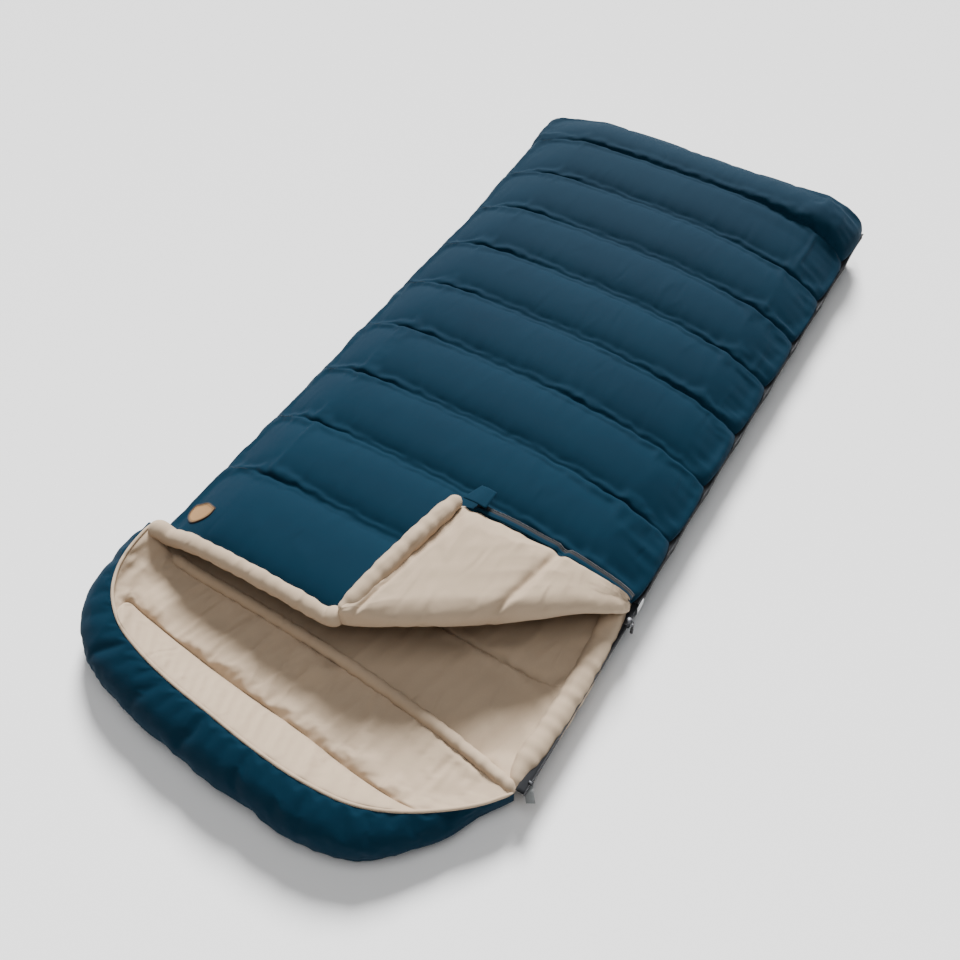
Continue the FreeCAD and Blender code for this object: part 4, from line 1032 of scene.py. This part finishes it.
def slider_piece(name, node, puller_node, body, puller_body, outward, along):
    """A slider with its bridge, and the puller that hangs from it; outward is its outer side."""
    low, high = corner_pair(node)
    centre = (low + high) / 2
    outward, along = np.array(outward, float), np.array(along, float)
    reach = abs((high - low) @ outward)
    core = centre - outward * (reach / 2 - 0.0065)
    frame_axes = (outward, along, np.cross(outward, along))
    wing = [(-0.0062, -0.0075), (-0.0035, -0.0098), (0.0035, -0.0098), (0.0062, -0.0075), (0.0056, 0.006),
            (0.0030, 0.0098), (-0.0030, 0.0098), (-0.0056, 0.006)]
    parts = []
    for side in (-1, 1):
        plate = rounded_plate(f"{name}_plate{side}", wing, 0.0016, METAL, 0.0004)
        place(plate, core + frame_axes[2] * 0.0037 * side, frame_axes)
        parts.append(plate)
    post_shape = [(-0.001, 0.0040), (0.001, 0.0040), (0.001, 0.0090), (-0.001, 0.0090)]
    post = rounded_plate(f"{name}_post", post_shape, 0.0064, METAL, 0.0003)
    parts.append(place(post, core, frame_axes))
    bridge = ((0.0045, 0.0065), (0.0088, 0.0048), (0.0103, 0.0), (0.0088, -0.0048), (0.0045, -0.0065))
    bridge_path = smooth_line([core + outward * rise + along * reach for rise, reach in bridge], 20)
    parts.append(tube_piece(f"{name}_bridge", bridge_path, 0.0011, METAL, sides=10, ends=False))
    body_piece = join(name, parts)
    declare(body_piece, "zip_metal", body, node)
    low, high = corner_pair(puller_node)
    eye = np.array([(low[0] + high[0]) / 2, (low[1] + high[1]) / 2, high[2] - 0.0025])
    blade = [(-0.0020, 0.0018), (-0.0024, -0.004), (-0.0020, -0.009), (-0.0030, -0.013), (-0.0034, -0.029),
             (-0.0022, -0.0318), (0.0022, -0.0318), (0.0034, -0.029), (0.0030, -0.013), (0.0020, -0.009),
             (0.0024, -0.004), (0.0020, 0.0018)]
    plate = rounded_plate(f"{name}_blade", blade, 0.0019, PULLER, 0.0005)
    place(plate, eye, (outward, UP, along))
    ribs = [plate]
    for k in range(5):
        rib = rounded_plate(f"{name}_rib{k}", rectangle(0.0024, 0.0004), 0.0028, PULLER, 0.0003)
        ribs.append(place(rib, eye - UP * (0.016 + 0.0028 * k), (outward, UP, along)))
    puller = join(name + "_puller", ribs)
    declare(puller, "puller_dark", puller_body, puller_node)


def on_quilt(place, rise):
    """A point just above the finished top panel."""
    hit = QUILT.ray_cast(Vector((place[0], place[1], 1.0)), Vector((0, 0, -1)))
    return np.array(hit[0]) + np.array(hit[1]) * rise


def badge():
    """A plain tan leather shield with a sewn border and no mark."""
    low, high = corner_pair("badge")
    centre = (low + high) / 2 + np.array([0.0, 0.006, 0.0])
    wide, deep = 0.029, 0.026
    half = ((0.97, 0.66), (0.60, 0.80), (0, 1), (-0.60, 0.80), (-0.97, 0.66), (-1, 0.05), (-0.82, -0.42),
            (-0.42, -0.82), (0, -1), (0.42, -0.82), (0.82, -0.42), (1, 0.05))
    shape = [(wide * x, deep * y) for x, y in half]
    rings = [1.0, 0.97, 0.86, 0.80, 0.55, 0.28, 0.0]
    rises = [0.0002, 0.0016, 0.0019, 0.0014, 0.0014, 0.0014, 0.0014]
    edge = smooth_line([(*corner, 0.0) for corner in shape + shape[:1]], 61)[:-1, :2]
    points = np.array([[on_quilt(centre[:2] + place * scale, rise) for place in edge]
                       for scale, rise in zip(rings, rises)])
    plate = grid_piece("badge_leather_shield", points, LEATHER, closed=True)
    declare(plate, "badge_tan", "top_panel", "badge")
    loop = np.vstack([edge, edge[:1]])
    rim = [on_quilt(centre[:2] + place * 0.985, 0.0014) for place in loop]
    border = tube_piece("badge_border", rim, 0.0015, BADGE_THREAD, sides=8, ends=False)
    declare(border, "badge_tan", "top_panel")
    ring = np.array([on_quilt(centre[:2] + place * 0.84, 0.0022) for place in loop])
    thread = stitches("badge_stitches", ring, UP[None], BADGE_THREAD, 0.0040, 0.0028, 0.0005)
    declare(thread, "badge_tan", "top_panel")


def tabs():
    """Grip tab, care label, and the hook-and-loop tab at the flap's tip."""
    low, high = corner_pair("zip_grip_tab")
    centre = (low + high) / 2
    path = smooth_line([(low[0] + 0.002, high[1] - 0.002, centre[2] + 0.003),
                        (centre[0], centre[1], centre[2] + 0.001),
                        (high[0] + 0.003, low[1] + 0.002, centre[2] - 0.012)], 24)
    path = path - np.array([0.007, -0.004, 0])
    grip = ribbon("grip_tab_webbing", path, (0.85, 0.5, 0.1), 0.016, GREY, 0.0016, 0.0006)
    declare(grip, "grip_webbing", "bottom_panel", "zip_grip_tab")
    low, high = corner_pair("care_label")
    top_z = high[2] + 0.022
    path = np.array([[high[0] + 0.012 - 0.012 * part, low[1], top_z - (top_z - low[2]) * part]
                     for part in np.linspace(0, 1, 16)])
    path[:, 0] += 0.006 * np.sin(np.linspace(0, math.pi, 16))
    label = ribbon("care_label_cloth", path, (0, 1, 0), high[1] - low[1], LABEL, 0.0006)
    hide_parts("care_label")
    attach(label, "bottom_panel")
    root = np.array([(TAB_LOW[0] + TAB_HIGH[0]) / 2, TAB_LOW[1], TAB_HIGH[2]])
    rows = []
    for part in np.linspace(0, 1, 14):
        half = 0.025 - 0.008 * part
        row = np.array([[root[0] + half * side + 0.004 * part, root[1] + 0.048 * part,
                         root[2] + 0.003 - 0.008 * part ** 1.5 + 0.0012 * math.cos(3 * side)]
                        for side in np.linspace(-1, 1, 10)])
        rows.append(row)
    tab = grid_piece("zip_tab_cloth", np.array(rows), NAVY)
    thicken(tab, 0.0016)
    declare(tab, "shell_navy", "zip_tab", "garage_tab")
    low, high = corner_pair("garage_tab_hook")
    hooks = rounded_plate("zip_tab_hooks", rectangle(0.010, 0.010), 0.0016, HOOK)
    place(hooks, ((low[0] + high[0]) / 2 + 0.002, (low[1] + high[1]) / 2, high[2] - 0.0005))
    declare(hooks, "hook_pad", "zip_tab", "garage_tab_hook")
    low, high = corner_pair("zip_end_stop")
    stop = rounded_plate("zip_end_stop_metal", rectangle(0.0045, 0.003), 0.006, METAL, 0.0012)
    place(stop, (low + high) / 2)
    declare(stop, "zip_metal", "bottom_panel", "zip_end_stop")


# ------------------------------------------------------------------ put together

def soft(piece, slot, fill, body, nodes):
    """Hide the CAD solids a padded piece stands for; attach it to the body it rides on when body is a name,
    otherwise only bake its transform into its mesh. slot and fill are not used.
    """
    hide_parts(*nodes)
    if isinstance(body, str):
        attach(piece, body)
    else:
        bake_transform(piece)


top, top_points, top_normals, top_seams = top_shell()
ceiling = top_lining()
flap, flap_points = flap_pillow()
under = flap_under()
base = bottom_shell()
floor = bottom_lining()
wall = hood_wall()
slope = hood_inside()
pillow = hood_floor()
simulate()

fold_plane = FOLD_HEAD - FOLD_OUT * 0.008
trim(top, fold_plane, FOLD_OUT)
trim(ceiling, fold_plane + FOLD_OUT * 0.002, FOLD_OUT)
for piece in (top, ceiling, flap, under, base, floor, wall, slope, pillow):
    subdivide(piece)
for piece in (top, ceiling, base, floor, wall, under):
    thicken(piece, 0.0012)

numbers = [f"{k:02d}" for k in range(1, BAFFLE_COUNT + 1)]
hinge_side = ("bottom_panel", "top_panel", (-HALF, 0.0, SEAM_Z), (-HALF + 0.02, 0.0, SEAM_Z + 0.02))
soft(top, "shell_navy", 0.7, hinge_side, ["top_shell"] + [f"top_batting_{n}" for n in numbers])
soft(ceiling, "lining_beige", 0.5, hinge_side, ["top_lining"])
soft(base, "shell_navy", 0.6, "bottom_panel", ["bottom_shell"] + [f"bottom_batting_{n}" for n in numbers])
soft(floor, "lining_beige", 0.5, "bottom_panel", ["bottom_lining"])
tilt = UP - FOLD_DIRECTION * (UP @ FOLD_DIRECTION)
across_fold = ("top_panel", "corner_flap", FOLD_HEAD - tilt * 0.055, FOLD_HEAD + tilt * 0.005)
soft(flap, "lining_beige", 0.5, across_fold, ["flap_lining", "flap_batting"])
soft(under, "shell_navy", 0.4, "corner_flap", ["flap_shell"])
neck_start = HOOD_HINGE + np.array([0, 0.012, 0])
neck_end = HOOD_HINGE - np.array([0, 0.05, 0])
across_neck = ("bottom_panel", "hood", neck_start, neck_end)
soft(wall, "shell_navy", 0.7, across_neck, ["hood_shell", "hood_ring_batting"])
soft(slope, "lining_beige", 0.6, across_neck, ["hood_lining"])
soft(pillow, "lining_beige", 0.6, across_neck, ["hood_floor_batting"])
rim = hood_rim()
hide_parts("hood_rim_piping")
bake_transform(rim)

soft(head_collar(), "lining_beige", 0.8, "top_panel", ["head_collar_tube"])
soft(flap_collar(), "lining_beige", 0.8, "corner_flap", ["flap_collar_tube"])
soft(draft_tube(), "lining_beige", 0.8, "bottom_panel", ["draft_tube"])
soft(neck_tube(), "lining_beige", 0.8, "bottom_panel", ["neck_tube"])

piping_path = np.array([[-HALF - 0.002 + 0.002 * math.sin(y * 2 * math.pi / BAFFLE), y, SEAM_Z - 0.001]
                        for y in np.linspace(HEAD_Y, FOOT_Y - 0.04, 220)])
piping_path[:, 0] += foot_flare(piping_path[:, 0], piping_path[:, 1])
piping = tube_piece("side_seam_cord", piping_path, 0.0040, NAVY, sides=10)
declare(piping, "shell_navy", "bottom_panel", "side_seam_piping")

bpy.context.view_layer.update()
QUILT = BVHTree.FromObject(top, bpy.context.evaluated_depsgraph_get())

for number, row in enumerate(top_seams, start=1):
    line = top_points[row] + top_normals[row] * 0.0007
    keep = (line - fold_plane) @ FOLD_OUT < -0.004
    thread = stitches(f"top_seam_stitches_{number:02d}", line[keep], top_normals[row][keep], THREAD)
    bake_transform(thread)

zip_line = flap_points[-1][FLAP_COLUMNS // 2:]
outward = np.array([0.02, 1.0, 0.0])
flap_tape = ribbon("flap_tape", zip_line + UP * 0.004, outward, 0.016, TAPE)
declare(flap_tape, "zip_tape", "corner_flap", "flap_zip_tape")
flap_coil = zip_teeth("flap_coil", resample(zip_line, 160) + UP * 0.004 + outward * 0.017, COIL)
declare(flap_coil, "zip_coil", "corner_flap", "flap_zip_coil")
flap_strip = ribbon("flap_anti_snag", zip_line + UP * 0.0075 - outward * 0.002, outward, 0.010, NAVY, 0.0018)
declare(flap_strip, "shell_navy", "corner_flap", "flap_zip_strip")

side_zips()
slider_piece("side_slider_metal", "head_slider", "head_puller", "side_slider", "side_puller",
             (1, 0, 0), (0, 1, 0))
slider_piece("end_slider_metal", "foot_slider", "foot_puller", "end_slider", "end_puller",
             (0, 1, 0), (-1, 0, 0))
badge()
tabs()


# ------------------------------------------------------------------ studio

def aim(thing, direction):
    thing.rotation_euler = Vector(direction).to_track_quat("-Z", "Y").to_euler()


def studio_floor():
    material, shader, _ = node_material("studio_floor")
    noise = add(material, "ShaderNodeTexNoise", Scale=3.0)
    mix_colours(material, shader, (0.96, 0.96, 0.96), (0.98, 0.98, 0.98), noise.outputs["Fac"])
    fill(material, shader, Roughness=0.9)
    size = 30.0
    corners = [(-size, -size, 0), (size, -size, 0), (size, size, 0), (-size, size, 0)]
    new_piece("studio_floor", corners, [(0, 1, 2, 3)], material)


def lights():
    key = bpy.data.lights.new("key", "SUN")
    key.energy, key.angle = 9.0, 0.33
    aim(new_object("key", key), (1.3, -2.7, -2.5))
    data = bpy.data.lights.new("fill", "AREA")
    data.energy, data.size = 70, 2.4
    lamp = new_object("fill", data)
    lamp.location = Vector((0.6, -1.2, 4.0))
    aim(lamp, Vector((0, -0.2, 0)) - lamp.location)


def studio():
    studio_floor()
    world = bpy.data.worlds.new("studio")
    world.use_nodes = True
    world.node_tree.nodes["Background"].inputs["Color"].default_value = (1, 1, 1, 1)
    world.node_tree.nodes["Background"].inputs["Strength"].default_value = 0.15
    scene.world = world
    lights()


def camera():
    data = bpy.data.cameras.new("camera")
    data.lens = 40.02
    data.sensor_width = 36
    eye = new_object("camera", data)
    eye.location = Vector((0.739, -1.349, 1.832))
    aim(eye, Vector((-0.004, -0.14, 0.0)) - eye.location)
    scene.camera = eye


studio()
camera()
